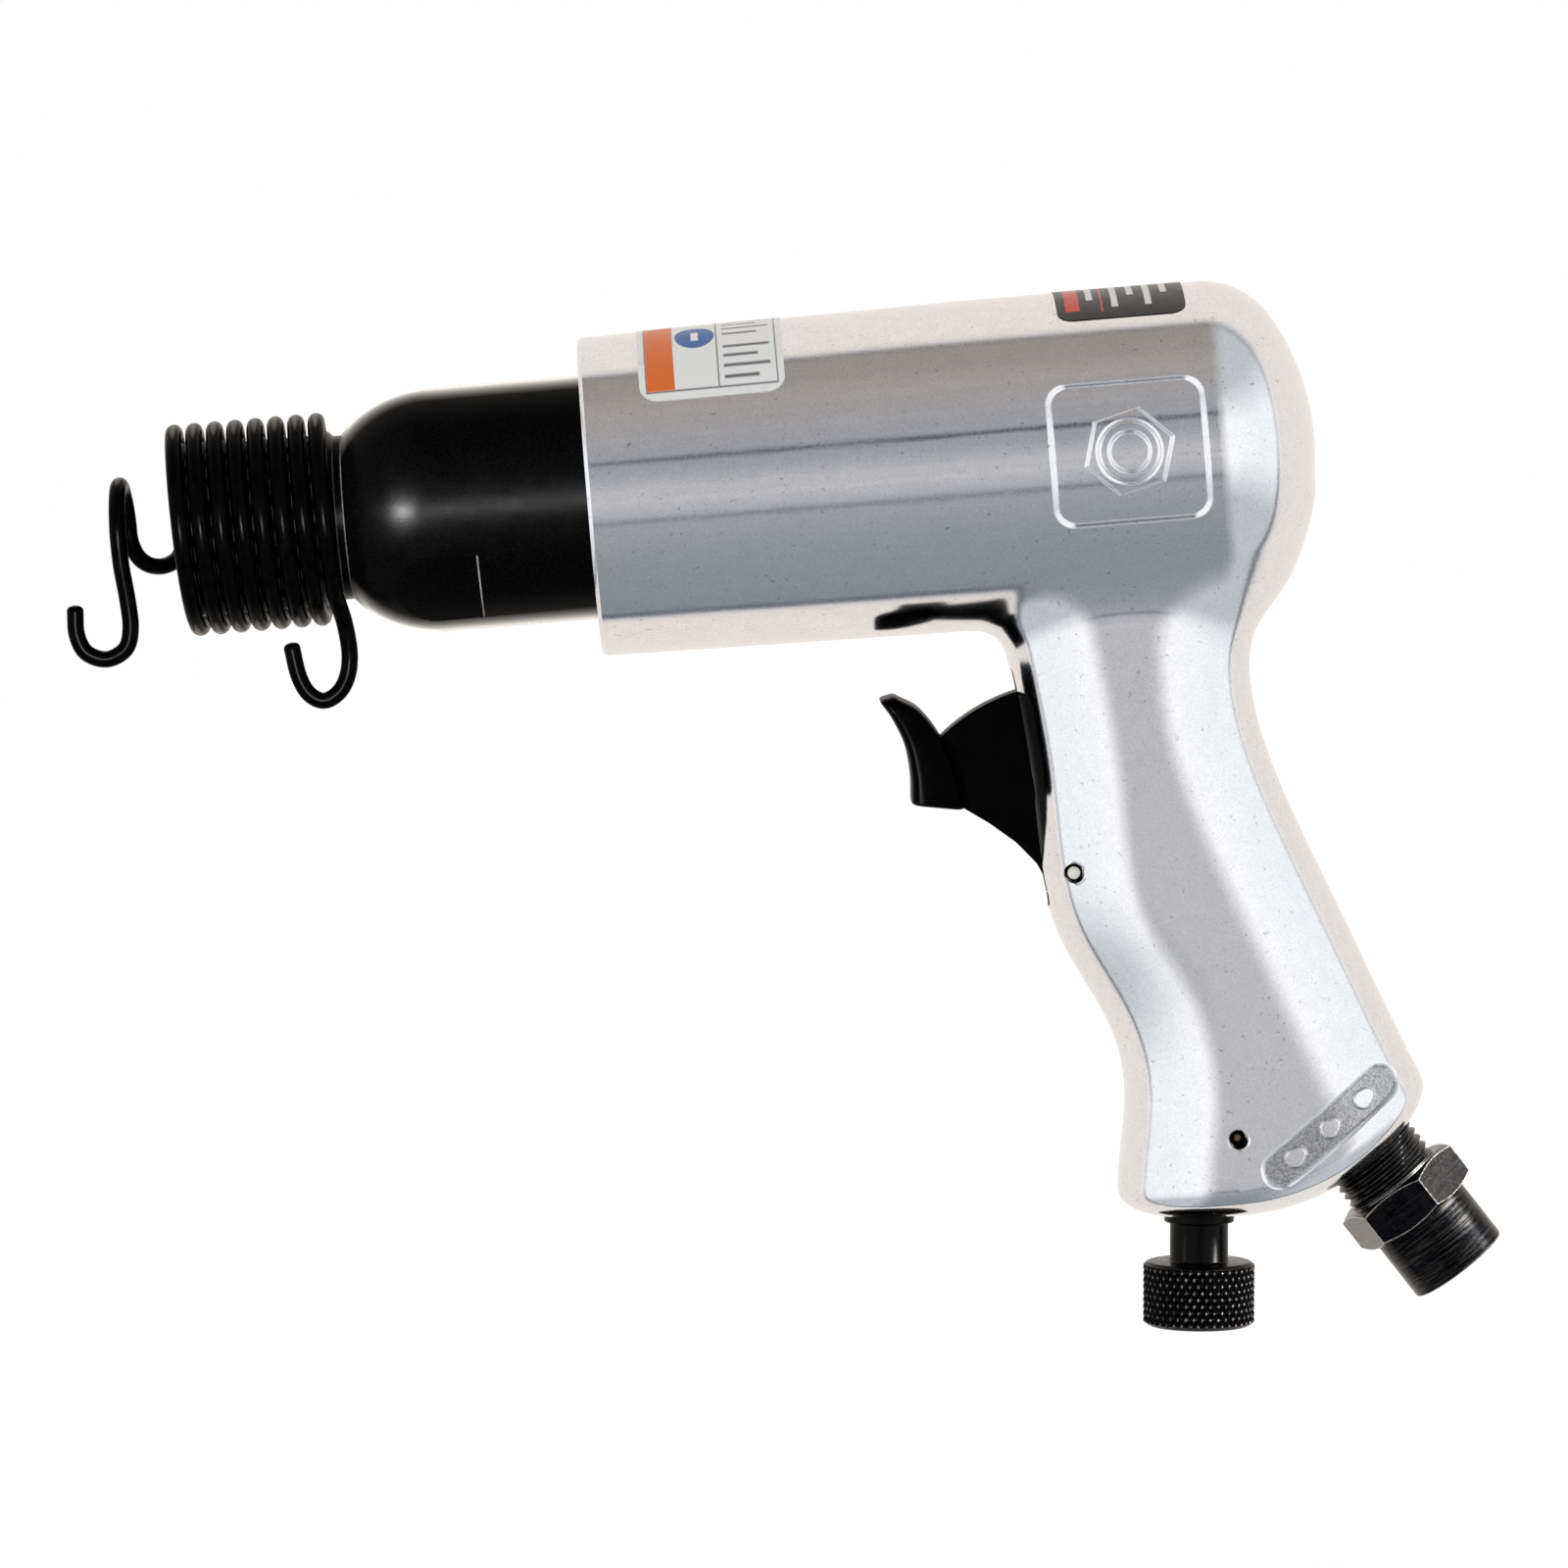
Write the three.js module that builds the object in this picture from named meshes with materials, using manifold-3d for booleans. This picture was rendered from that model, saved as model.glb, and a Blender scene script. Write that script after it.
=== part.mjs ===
// Pneumatic air hammer with a pistol grip, a wire chisel retainer and a speed regulator.
// Millimetres, +Z up. The pieces are drawn about the barrel: the barrel axis is the X axis,
// x = 0 is the front face of the housing, +X runs to the rear and the chisel points to -X.
// The last lines move the whole tool so that its origin is the middle of the grip.
import * as THREE from 'three';
import { mergeVertices } from 'three/addons/utils/BufferGeometryUtils.js';
import Module from 'manifold-3d';

const wasm = await Module();
wasm.setup();

// ---- driving dimensions ----
const GRIP = { x: 90, z: -66 };
const GAP = 0.3;
const WELD = 1e-4;
const ROUND = 26;
const SHELL_SIDES = 40;

const SHELL = { front: 25.5, rear: 26.4, taperEnd: 62, cornerStart: 99.2, corner: 13.3, crown: 40 };
const CROWN_TIP = 116.1;
const CHAMBER = { exhaust: 21.5, exhaustEnd: 60, seat: 19.8, seatEnd: 76.6, valve: 17, valveEnd: 103 };

// holes that carry the air from the inlet, past the regulator and the throttle, to the valve
const AIRWAY = {
  cross: { z: -98.5, radius: 2.4 },
  riser: { x: 97, radius: 3 },
  feed: { x: 86.4, radius: 2.6 },
};

const GRIP_EXPONENT = 2.5;
const GRIP_HALF_WIDTH = { top: 16.4, bottom: 17.6 };
const BUTT = { floor: -123.2, bendX: 106.5, slope: 35 };

const BARREL = { radius: 19.5, thread: 19.4, rear: 76.5, shoulder: -25, ogive: 18.4, nose: -66 };
const NOSE_RADIUS = 13.9;
const NOSE_CHAMFER = 0.9;
const EXHAUST_PORT = { x: 24, radius: 2, turn: 30 };
const NECK = { front: -41, rear: -40.2, radius: 13.1 };
const BORE = { piston: 9.5, front: -30, shank: 5.15 };
const WRENCH_FLAT = { distance: 18.2, rearEnd: -18, angle: 42, depth: 8 };

const PISTON = { radius: 9.3, front: 36.6, rear: 76.2 };

const WIRE = 1.35;
const COIL = { radius: 15.7, pitch: 3.257, rearTop: -42.7, startAngle: -50, endAngle: 2700, step: 22.5 };
const LOOP = { radius: 8, rear: -74.7, front: -75.2 };

const PIVOT = { x: 71.9, z: -65.5, hole: 1.6, pin: 1.3 };
const TRIGGER = { web: 4.2, finger: 7.5, fan: 29.9, boss: 4.5 };
const SLOT = { half: 5, rear: 78, top: -32.5, bottom: -71.2 };

const THROTTLE = { z: -52, bore: 5.6, end: 101.3 };
const PLUNGER = { radius: 2.2, front: 73.7, rear: 86 };
const BUSHING = { front: 78.3, rear: 83.6, outer: 5.3 };
const SEAT = { front: 89.2, rear: 91.2, hole: 3.2 };
const POPPET = { head: 91.5, back: 94, radius: 4.4, stem: 1.5 };

const REGULATOR = { x: 88.1, z: -123.1, lean: 4.7, bore: 5.95, depth: 34 };
const SPOOL = { body: 5.65, neck: 4.7, groove: 3.7, head: 9, headTop: -7.6, headBottom: -18.1, top: 30 };
const STOP_PIN = { x: 94.4, z: -109.6, hole: 1.55, pin: 1.25, halfLength: 14 };

const INLET = { x: 129.2, z: -134.7, lean: -33.5, end: 8.65, thread: 8.1, bore: 5.6, inner: 33 };
const HEX = { near: 10.6, far: 17.2, acrossFlats: 19.05, turn: 18, chamfer: 0.9, rim: 9.6 };
const INLET_WELL = { start: 19, thread: 8.4, threadEnd: 35.5, end: 45, radius: 6 };

const LABEL = { lift: 0.25, thickness: 0.3 };
const SAFETY_LABEL = { from: 9.5, to: 32.5, low: 35, high: 145 };
const RATING_LABEL = { from: 76.2, to: 96.6, low: 56, high: 124 };
const BADGE = { x: 85.3, z: 1, width: 24.2, height: 22.8, corner: 3.2, depth: 0.5 };
const OIL_PLATE = { x: 109.2, z: -108.8, length: 26.5, height: 5.5, rise: 36, floor: 16.3 };

// ---- finishes ----
const FINISH = {
  polishedAluminium: [0xd5d5d8, 0.2, 1],
  blackSteel: [0x17171a, 0.4, 0.8],
  springWire: [0x151517, 0.35, 0.7],
  brightSteel: [0xb5b3ae, 0.3, 1],
  wornSteel: [0x54534f, 0.45, 0.9],
  toolSteel: [0x77777a, 0.35, 1],
  blackComposite: [0x151519, 0.5, 0],
  brass: [0xb59a5a, 0.4, 1],
  rubber: [0x1b1b1b, 0.85, 0],
  whiteFilm: [0xf2f1ec, 0.5, 0],
  blackFilm: [0x1c1b1d, 0.4, 0],
};

// ---- tools for making solids ----
const radians = THREE.MathUtils.degToRad;

function signedVolume(points, index) {
  let sum = 0;
  for (let i = 0; i < index.length; i += 3) {
    const [a, b, c] = [0, 1, 2].map((k) => new THREE.Vector3().fromArray(points, 3 * index[i + k]));
    sum += a.dot(b.cross(c));
  }
  return sum / 6;
}

function solid(geometry) {
  const bare = geometry.clone();
  bare.deleteAttribute('normal');
  bare.deleteAttribute('uv');
  const merged = mergeVertices(bare, WELD);
  const points = Float32Array.from(merged.attributes.position.array);
  const index = [];
  const corners = merged.index.array;
  for (let i = 0; i < corners.length; i += 3) {
    const [a, b, c] = [corners[i], corners[i + 1], corners[i + 2]];
    if (a !== b && b !== c && c !== a) index.push(a, b, c);
  }
  if (signedVolume(points, index) < 0) index.reverse();
  const triVerts = Uint32Array.from(index);
  return new wasm.Manifold(new wasm.Mesh({ numProp: 3, vertProperties: points, triVerts }));
}

function cut(body, ...tools) {
  return tools.reduce((rest, tool) => rest.subtract(tool), body);
}

function join(body, ...others) {
  return others.reduce((sum, other) => sum.add(other), body);
}

function piece(name, body, finish) {
  const { vertProperties, triVerts } = body.getMesh();
  const geometry = new THREE.BufferGeometry();
  geometry.setAttribute('position', new THREE.BufferAttribute(Float32Array.from(vertProperties), 3));
  geometry.setIndex(new THREE.BufferAttribute(Uint32Array.from(triVerts), 1));
  geometry.computeVertexNormals();
  const [color, roughness, metalness] = FINISH[finish];
  const mesh = new THREE.Mesh(geometry, new THREE.MeshStandardMaterial({ color, roughness, metalness }));
  mesh.name = name;
  return mesh;
}

// a profile of [along, radius] points turned about the X axis
function turned(profile, sides = ROUND) {
  const outline = profile.map(([along, radius]) => new THREE.Vector2(radius, along));
  return new THREE.LatheGeometry(outline, sides).rotateZ(-Math.PI / 2);
}

// the same about the Z axis
function turnedUp(profile, sides = ROUND) {
  const outline = profile.map(([along, radius]) => new THREE.Vector2(radius, along));
  return new THREE.LatheGeometry(outline, sides).rotateX(Math.PI / 2);
}

function turnedRod(from, to, radius, sides = ROUND) {
  return turned([[from, 0], [from, radius], [to, radius], [to, 0]], sides);
}

function closed(profile) {
  return [...profile, profile[0]];
}

// points on an arc about a centre, from one angle to another in degrees
function arc(centreX, centreY, radius, from, to, steps) {
  return Array.from({ length: steps + 1 }, (_, i) => {
    const angle = radians(from + ((to - from) * i) / steps);
    return [centreX + radius * Math.cos(angle), centreY + radius * Math.sin(angle)];
  });
}

// an [x, z] outline given thickness along Y, centred on the middle plane
function plate(outline, half) {
  const shape = new THREE.Shape(outline.map(([x, z]) => new THREE.Vector2(x, z)));
  const options = { depth: 2 * half, bevelEnabled: false };
  return new THREE.ExtrudeGeometry(shape, options).rotateX(Math.PI / 2).translate(0, half, 0);
}

// a round bar between two [x, z] points of the middle plane
function bar([x0, z0], [x1, z1], radius, sides = 14) {
  const length = Math.hypot(x1 - x0, z1 - z0);
  return new THREE.CylinderGeometry(radius, radius, length, sides)
    .rotateX(Math.PI / 2)
    .rotateY(Math.atan2(x1 - x0, z1 - z0))
    .translate((x0 + x1) / 2, 0, (z0 + z1) / 2);
}

function crossPin({ x, z }, radius, halfLength, sides = 16) {
  return new THREE.CylinderGeometry(radius, radius, 2 * halfLength, sides).translate(x, 0, z);
}

function box(x0, x1, half, z0, z1) {
  return new THREE.BoxGeometry(x1 - x0, 2 * half, z1 - z0).translate((x0 + x1) / 2, 0, (z0 + z1) / 2);
}

function sealRing(at, radius, thickness) {
  return turned(closed(arc(at, radius, thickness, 0, 300, 5)), 20);
}

function roundedRectangle(width, height, corner) {
  const right = width / 2 - corner;
  const top = height / 2 - corner;
  return [
    ...arc(right, top, corner, 0, 90, 4),
    ...arc(-right, top, corner, 90, 180, 4),
    ...arc(-right, -top, corner, 180, 270, 4),
    ...arc(right, -top, corner, 270, 360, 4),
  ];
}

// ---- housing ----
// barrel shell with a slight draft and a domed rear; grow moves its skin outwards
function shell(grow = 0) {
  const { front, rear, taperEnd, cornerStart, corner, crown } = SHELL;
  const cornerCentre = rear - corner;
  const crownCentre = CROWN_TIP - crown;
  const meet = THREE.MathUtils.radToDeg(Math.atan2(cornerCentre, cornerStart - crownCentre));
  return turned([
    [-grow, 0],
    [-grow, front - 0.6 + grow],
    [0.6, front + grow],
    [taperEnd, rear + grow],
    ...arc(cornerStart, cornerCentre, corner + grow, 90, meet, 6),
    ...arc(crownCentre, 0, crown + grow, meet * 0.6, 0, 2),
  ], SHELL_SIDES);
}

function buttHeight(x) {
  const past = Math.max(0, x - BUTT.bendX);
  return BUTT.floor + past * Math.tan(radians(BUTT.slope));
}

// one cross-section of the grip: a superellipse from its front point to its back point
function gripSection(front, back, halfWidth, points = 24) {
  const middle = front.clone().add(back).multiplyScalar(0.5);
  const reach = back.clone().sub(front).multiplyScalar(0.5);
  const power = 2 / GRIP_EXPONENT;
  return Array.from({ length: points }, (_, i) => {
    const angle = (2 * Math.PI * (i + 0.5)) / points;
    const along = Math.sign(Math.cos(angle)) * Math.abs(Math.cos(angle)) ** power;
    const across = Math.sign(Math.sin(angle)) * Math.abs(Math.sin(angle)) ** power;
    return [middle.x + reach.x * along, halfWidth * across, middle.y + reach.y * along];
  });
}

// the last two sections curl under on to the two faces of the butt
function buttSection(section, inset, sink) {
  const centreX = section.reduce((sum, [x]) => sum + x, 0) / section.length;
  return section.map(([x, y, z]) => {
    const inX = x - Math.sign(x - centreX) * Math.min(inset, Math.abs(x - centreX));
    const inY = y - Math.sign(y) * Math.min(inset, Math.abs(y));
    return [inX, inY, THREE.MathUtils.lerp(z, buttHeight(inX), sink)];
  });
}

function grip() {
  const frontEdge = new THREE.SplineCurve([
    [62, -12], [64.6, -33], [66.3, -50], [66.8, -64],
    [69.6, -77.5], [75.6, -90.2], [77.7, -102], [75.1, -117],
  ].map(([x, z]) => new THREE.Vector2(x, z)));
  const backEdge = new THREE.SplineCurve([
    [112.5, -13], [108.4, -22.5], [103.9, -31], [103, -39],
    [107.7, -58.2], [115.2, -77.7], [122.8, -97.3], [127.2, -107.5],
  ].map(([x, z]) => new THREE.Vector2(x, z)));
  const levels = 15;
  const sections = Array.from({ length: levels + 1 }, (_, i) => {
    const t = i / levels;
    const half = THREE.MathUtils.lerp(GRIP_HALF_WIDTH.top, GRIP_HALF_WIDTH.bottom, t);
    return gripSection(frontEdge.getPointAt(t), backEdge.getPointAt(t), half);
  });
  const rim = sections.at(-1);
  sections.push(buttSection(rim, 1.6, 0.72), buttSection(rim, 5, 1));
  const ring = rim.length;
  const index = [];
  for (let level = 0; level + 1 < sections.length; level += 1) {
    for (let i = 0; i < ring; i += 1) {
      const a = level * ring + i;
      const b = level * ring + ((i + 1) % ring);
      index.push(a, b, b + ring, a, b + ring, a + ring);
    }
  }
  const lastRing = (sections.length - 1) * ring;
  for (let i = 0; i + 1 < ring / 2; i += 1) {
    const facing = ring - 1 - i;
    index.push(i + 1, i, facing, i + 1, facing, facing - 1);
    const [a, b, c, d] = [i, i + 1, facing, facing - 1].map((k) => k + lastRing);
    index.push(a, b, c, b, d, c);
  }
  const geometry = new THREE.BufferGeometry();
  geometry.setAttribute('position', new THREE.Float32BufferAttribute(sections.flat(2), 3));
  geometry.setIndex(index);
  return geometry;
}

// place a shape drawn about a leaning axis, as the knob and the inlet are
function leaning({ x, z, lean }, geometry) {
  return geometry.rotateY(radians(lean)).translate(x, 0, z);
}

function badgeRecess() {
  const outline = roundedRectangle(BADGE.width, BADGE.height, BADGE.corner);
  const prism = plate(outline.map(([x, z]) => [x + BADGE.x, z + BADGE.z]), 8)
    .translate(0, -SHELL.rear - 2, 0);
  return solid(prism).subtract(solid(turnedRod(60, 115, SHELL.rear - BADGE.depth, SHELL_SIDES)));
}

function oilPlateRecess() {
  const { length, height, rise, floor } = OIL_PLATE;
  const outline = roundedRectangle(length, height, height / 2 - 0.01);
  return solid(plate(outline, 3).rotateY(radians(-rise)).translate(OIL_PLATE.x, -floor - 3, OIL_PLATE.z));
}

function housing() {
  const { exhaust, exhaustEnd, seat, seatEnd, valve, valveEnd } = CHAMBER;
  const { cross, riser, feed } = AIRWAY;
  const bores = solid(turned([
    [-2, 0], [-2, exhaust], [exhaustEnd, exhaust], [exhaustEnd, seat],
    [seatEnd, seat], [seatEnd, valve], [valveEnd, valve], [valveEnd, 0],
  ], 32));
  const well = turnedUp([
    [INLET_WELL.start, 0], [INLET_WELL.start, INLET_WELL.thread], [INLET_WELL.threadEnd, INLET_WELL.thread],
    [INLET_WELL.threadEnd, INLET_WELL.radius], [INLET_WELL.end, INLET_WELL.radius], [INLET_WELL.end, 0],
  ]);
  const regulatorBore = turnedUp([[-6, 0], [-6, REGULATOR.bore], [REGULATOR.depth, REGULATOR.bore],
    [REGULATOR.depth, 0]]);
  return cut(
    join(solid(shell()), solid(grip())),
    bores,
    solid(box(58, SLOT.rear, SLOT.half, SLOT.bottom, SLOT.top)),
    solid(turnedRod(58, THROTTLE.end, THROTTLE.bore, 24).translate(0, 0, THROTTLE.z)),
    solid(bar([feed.x, THROTTLE.z + 2], [feed.x, -12], feed.radius)),
    solid(bar([90.4, -94], [riser.x, THROTTLE.z], riser.radius)),
    solid(bar([90, cross.z], [103.5, cross.z], cross.radius)),
    solid(leaning(REGULATOR, regulatorBore)),
    solid(leaning(INLET, well)),
    solid(crossPin(PIVOT, PIVOT.hole, 30)),
    solid(crossPin(STOP_PIN, STOP_PIN.hole, 30)),
    badgeRecess(),
    oilPlateRecess(),
  );
}

// ---- barrel, piston and retainer ----
function wrenchFlat(turn) {
  const { distance, rearEnd, depth } = WRENCH_FLAT;
  return solid(box(-48, rearEnd, 12, -distance - depth, -distance).rotateX(radians(turn)));
}

function exhaustPort(turn) {
  const { x, radius } = EXHAUST_PORT;
  return solid(new THREE.CylinderGeometry(radius, radius, 60, 12)
    .translate(x, 0, 0).rotateX(radians(turn)));
}

function barrel() {
  const { radius, thread, rear, shoulder, ogive, nose } = BARREL;
  const shoulderCentre = radius - ogive;
  const neckAngle = 180 - THREE.MathUtils.radToDeg(Math.asin((NECK.radius - shoulderCentre) / ogive));
  const body = solid(turned([
    [nose, 0], [nose, NOSE_RADIUS - NOSE_CHAMFER], [nose + NOSE_CHAMFER, NOSE_RADIUS],
    [NECK.front, NOSE_RADIUS],
    [NECK.rear, NECK.radius],
    ...arc(shoulder, shoulderCentre, ogive, neckAngle, 90, 7),
    [CHAMBER.exhaustEnd - 1, radius], [CHAMBER.exhaustEnd, thread], [rear, thread], [rear, 0],
  ], 36));
  const bore = solid(turned([
    [nose - 1, 0], [nose - 1, BORE.shank + 1.6], [nose + 1, BORE.shank], [BORE.front - 3, BORE.shank],
    [BORE.front, BORE.piston], [rear + 1, BORE.piston], [rear + 1, 0],
  ]));
  const flatTurn = WRENCH_FLAT.angle - 90;
  return cut(
    body,
    bore,
    wrenchFlat(flatTurn),
    wrenchFlat(flatTurn + 180),
    exhaustPort(EXHAUST_PORT.turn),
    exhaustPort(-EXHAUST_PORT.turn),
  );
}

function piston() {
  const { radius, front, rear } = PISTON;
  return solid(turned([
    [front, 0], [front, radius - 2.5], [front + 2.5, radius], [front + 14, radius],
    [front + 14.8, radius - 0.8], [front + 17, radius - 0.8], [front + 17.8, radius],
    [rear - 1, radius], [rear, radius - 1], [rear, 0],
  ]));
}

// a wire that keeps the spacing of its own points, so tight bends stay round
class WirePath extends THREE.CatmullRomCurve3 {
  getSpacedPoints(divisions) {
    return this.getPoints(divisions);
  }

  getTangentAt(u, target) {
    return this.getTangent(u, target);
  }
}

function wire(points, radius, sides) {
  const path = new WirePath(points);
  const section = new THREE.Shape(arc(0, 0, radius, 0, 360 - 360 / sides, sides - 1)
    .map(([x, y]) => new THREE.Vector2(x, y)));
  return solid(new THREE.ExtrudeGeometry(section, { steps: points.length - 1, extrudePath: path }));
}

function smooth(points, count) {
  return new THREE.CatmullRomCurve3(points.map((p) => new THREE.Vector3(...p))).getSpacedPoints(count);
}

function retainer() {
  const { radius, pitch, rearTop, startAngle, endAngle, step } = COIL;
  const coil = [];
  for (let angle = startAngle; angle <= endAngle; angle += step) {
    const turn = radians(angle);
    const x = rearTop - (pitch * (angle - 90)) / 360;
    coil.push(new THREE.Vector3(x, -radius * Math.cos(turn), radius * Math.sin(turn)));
  }
  const rearHook = smooth([
    [-49.3, -6, -19.8], [-48.6, -6, -24.4], [-47.2, -6, -27.4], [-44.9, -6, -28.7], [-42.4, -6, -27.5],
    [-40.8, -6, -24.9], [-40.2, -6, -21.4], [-40.5, -6.6, -17], [-41.1, -8.6, -13.6],
  ], 15);
  const loop = arc(0, 0, LOOP.radius, 12, 180, 10).map(([y, z], i) => [
    THREE.MathUtils.lerp(LOOP.rear, LOOP.front, i / 10), y, z,
  ]);
  const frontHook = smooth([
    [-67.1, 14.9, -3.8], [-69.1, 12.8, -5.6], [-71.6, 10.6, -5.6], [-73.6, 8.9, -4], [-74.6, 8.1, -1.2],
    ...loop,
    [-75.1, -7.9, -4.5], [-74.6, -7.6, -10], [-74.5, -7.5, -14.6], [-75.6, -7.5, -17.8], [-78.7, -7.5, -19.2],
    [-81.9, -7.5, -17.9], [-83.2, -7.5, -14.9], [-83.1, -7.5, -11],
  ], 42);
  return wire([...rearHook, ...coil, ...frontHook], WIRE, 7);
}

// ---- trigger and throttle ----
function trigger() {
  const { web, finger, fan, boss } = TRIGGER;
  const { x, z } = PIVOT;
  const fanStart = THREE.MathUtils.radToDeg(Math.acos((52.4 - x) / fan));
  const fanEnd = THREE.MathUtils.radToDeg(Math.acos((70.2 - x) / fan));
  const webOutline = [
    ...arc(x, z, fan, fanStart, fanEnd, 7),
    [73.4, THROTTLE.z],
    ...arc(x, z, boss, 20, -150, 8),
    [66.4, -64.2], [63.4, -60.6], [59.4, -57.2], [55, -54.1], [52.4, -48],
  ];
  const fingerOutline = [
    [43.5, -36.1], [45.4, -39.3], [46.8, -43.5], [47.3, -48.2], [47.1, -52.7], [51.5, -53.3], [55.8, -54.3],
    [54.9, -48], [53.3, -42.8], [50.4, -38.4], [47.9, -36.1], [45.6, -35.4],
  ];
  return cut(
    join(solid(plate(fingerOutline, finger)), solid(plate(webOutline, web))),
    solid(crossPin(PIVOT, PIVOT.pin + GAP, 20)),
  );
}

function plunger() {
  const { radius, front, rear } = PLUNGER;
  return solid(turned([[front, 0], [front + 0.8, radius], [rear, radius], [rear, 0]], 20)
    .translate(0, 0, THROTTLE.z));
}

function plungerBushing() {
  const { front, rear, outer } = BUSHING;
  const hole = PLUNGER.radius + GAP;
  return solid(turned(closed([
    [front, hole], [front, outer], [rear, outer], [rear, hole],
    [rear - 1.8, hole], [rear - 1.8, hole + 1.4], [rear - 3.5, hole + 1.4], [rear - 3.5, hole],
  ]), 24).translate(0, 0, THROTTLE.z));
}

function plungerSeal() {
  return solid(sealRing(BUSHING.rear - 2.65, PLUNGER.radius + 0.9, 0.62).translate(0, 0, THROTTLE.z));
}

function throttleSeat() {
  const { front, rear, hole } = SEAT;
  const outer = THROTTLE.bore - GAP;
  return solid(turned(closed([[front, hole], [front, outer], [rear, outer], [rear, hole + 0.6],
    [rear - 0.6, hole]]), 24).translate(0, 0, THROTTLE.z));
}

function throttleValve() {
  const { head, back, radius, stem } = POPPET;
  return solid(turned([
    [PLUNGER.rear + GAP, 0], [PLUNGER.rear + GAP, stem], [head - 0.4, stem], [head, stem + 0.4],
    [head, radius], [back, radius], [back, 1.8], [back + 2, 1.8], [back + 2, 0],
  ], 24).translate(0, 0, THROTTLE.z));
}

function throttleSpring() {
  const start = POPPET.back + 0.75;
  const turns = 3.5;
  const steps = 35;
  const points = Array.from({ length: steps + 1 }, (_, i) => {
    const angle = (2 * Math.PI * turns * i) / steps;
    const x = start + ((THROTTLE.end - 0.8 - start) * i) / steps;
    return new THREE.Vector3(x, 3.3 * Math.sin(angle), THROTTLE.z + 3.3 * Math.cos(angle));
  });
  return wire(points, 0.4, 5);
}

// ---- cycling valve behind the barrel ----
// the seat and the block leave a pocket between them, where the plate shuttles
const VALVE = {
  radius: CHAMBER.valve - GAP,
  front: 77,
  pocketFront: 82,
  seatRear: 84,
  blockFront: 84.3,
  pocketRear: 86.6,
  blockRear: 100,
  pocket: 10.8,
  centreHole: 5,
};
const VALVE_PLATE = { front: 83.8, rear: 85.2, outer: 10.2, hole: 1.2 };
const DOWEL = { radius: 1.2, offset: 13.4, from: 80, to: 93 };

function dowelHole() {
  return solid(turnedRod(DOWEL.from - 0.5, DOWEL.to + 0.5, DOWEL.radius + GAP, 12)
    .translate(0, 0, DOWEL.offset));
}

function valveSeat() {
  const { radius, front, pocketFront, seatRear, pocket, centreHole } = VALVE;
  return cut(
    solid(turned(closed([
      [front, centreHole], [front, radius], [seatRear, radius],
      [seatRear, pocket], [pocketFront, pocket], [pocketFront, centreHole],
    ]))),
    dowelHole(),
  );
}

function valvePlate() {
  const { front, rear, outer, hole } = VALVE_PLATE;
  return solid(turned(closed([[front, hole], [front, outer], [rear, outer], [rear, hole]])));
}

function valveBlock() {
  const { radius, blockFront, pocketRear, blockRear, pocket } = VALVE;
  const groove = { front: blockFront + 0.7, rear: pocketRear + 2, radius: 14.8 };
  const feedHole = (turn) => solid(new THREE.CylinderGeometry(1.3, 1.3, 8, 12)
    .translate(pocketRear, 12, 0).rotateX(radians(turn)));
  const body = solid(turned(closed([
    [blockFront, pocket], [blockFront, radius], [groove.front, radius], [groove.front, groove.radius],
    [groove.rear, groove.radius], [groove.rear, radius], [blockRear, radius], [blockRear, 4],
    [pocketRear, 4], [pocketRear, pocket],
  ])));
  return cut(body, dowelHole(), feedHole(20), feedHole(140), feedHole(260));
}

function valveGasket() {
  const front = VALVE.blockRear + GAP;
  const rear = CHAMBER.valveEnd - GAP;
  return solid(turned(closed([[front, 5], [front, 16], [rear, 16], [rear, 5]])));
}

// ---- regulator under the butt, drawn about its own leaning axis with the butt at zero ----
function regulator() {
  const { body, neck, groove, head, headTop, headBottom, top } = SPOOL;
  const pinHeight = (STOP_PIN.z - REGULATOR.z) * Math.cos(radians(REGULATOR.lean));
  const spool = solid(turnedUp([
    [headBottom, 0], [headBottom, head - 0.8], [headBottom + 0.8, head], [headTop - 0.8, head],
    [headTop, head - 0.9], [headTop, neck], [-1.2, neck], [-1.2, body], [pinHeight - 2.6, body],
    [pinHeight - 1.8, groove], [pinHeight + 2.4, groove], [pinHeight + 3.2, body], [19.2, body],
    [19.2, 4.2], [20.5, 4.2], [20.5, body], [top, body], [top, 0],
  ]));
  const flowBore = solid(turnedUp([[22, 0], [22, 2.6], [top + 1, 2.6], [top + 1, 0]], 16));
  const portHeight = AIRWAY.cross.z - REGULATOR.z;
  const sidePort = solid(new THREE.CylinderGeometry(2, 2, 10, 14)
    .rotateZ(Math.PI / 2).translate(5, 0, portHeight));
  return cut(spool, flowBore, sidePort);
}

function regulatorSeal() {
  return solid(turnedUp(closed(arc(19.85, 5.05, 0.6, 0, 300, 5)), 20));
}

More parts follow.
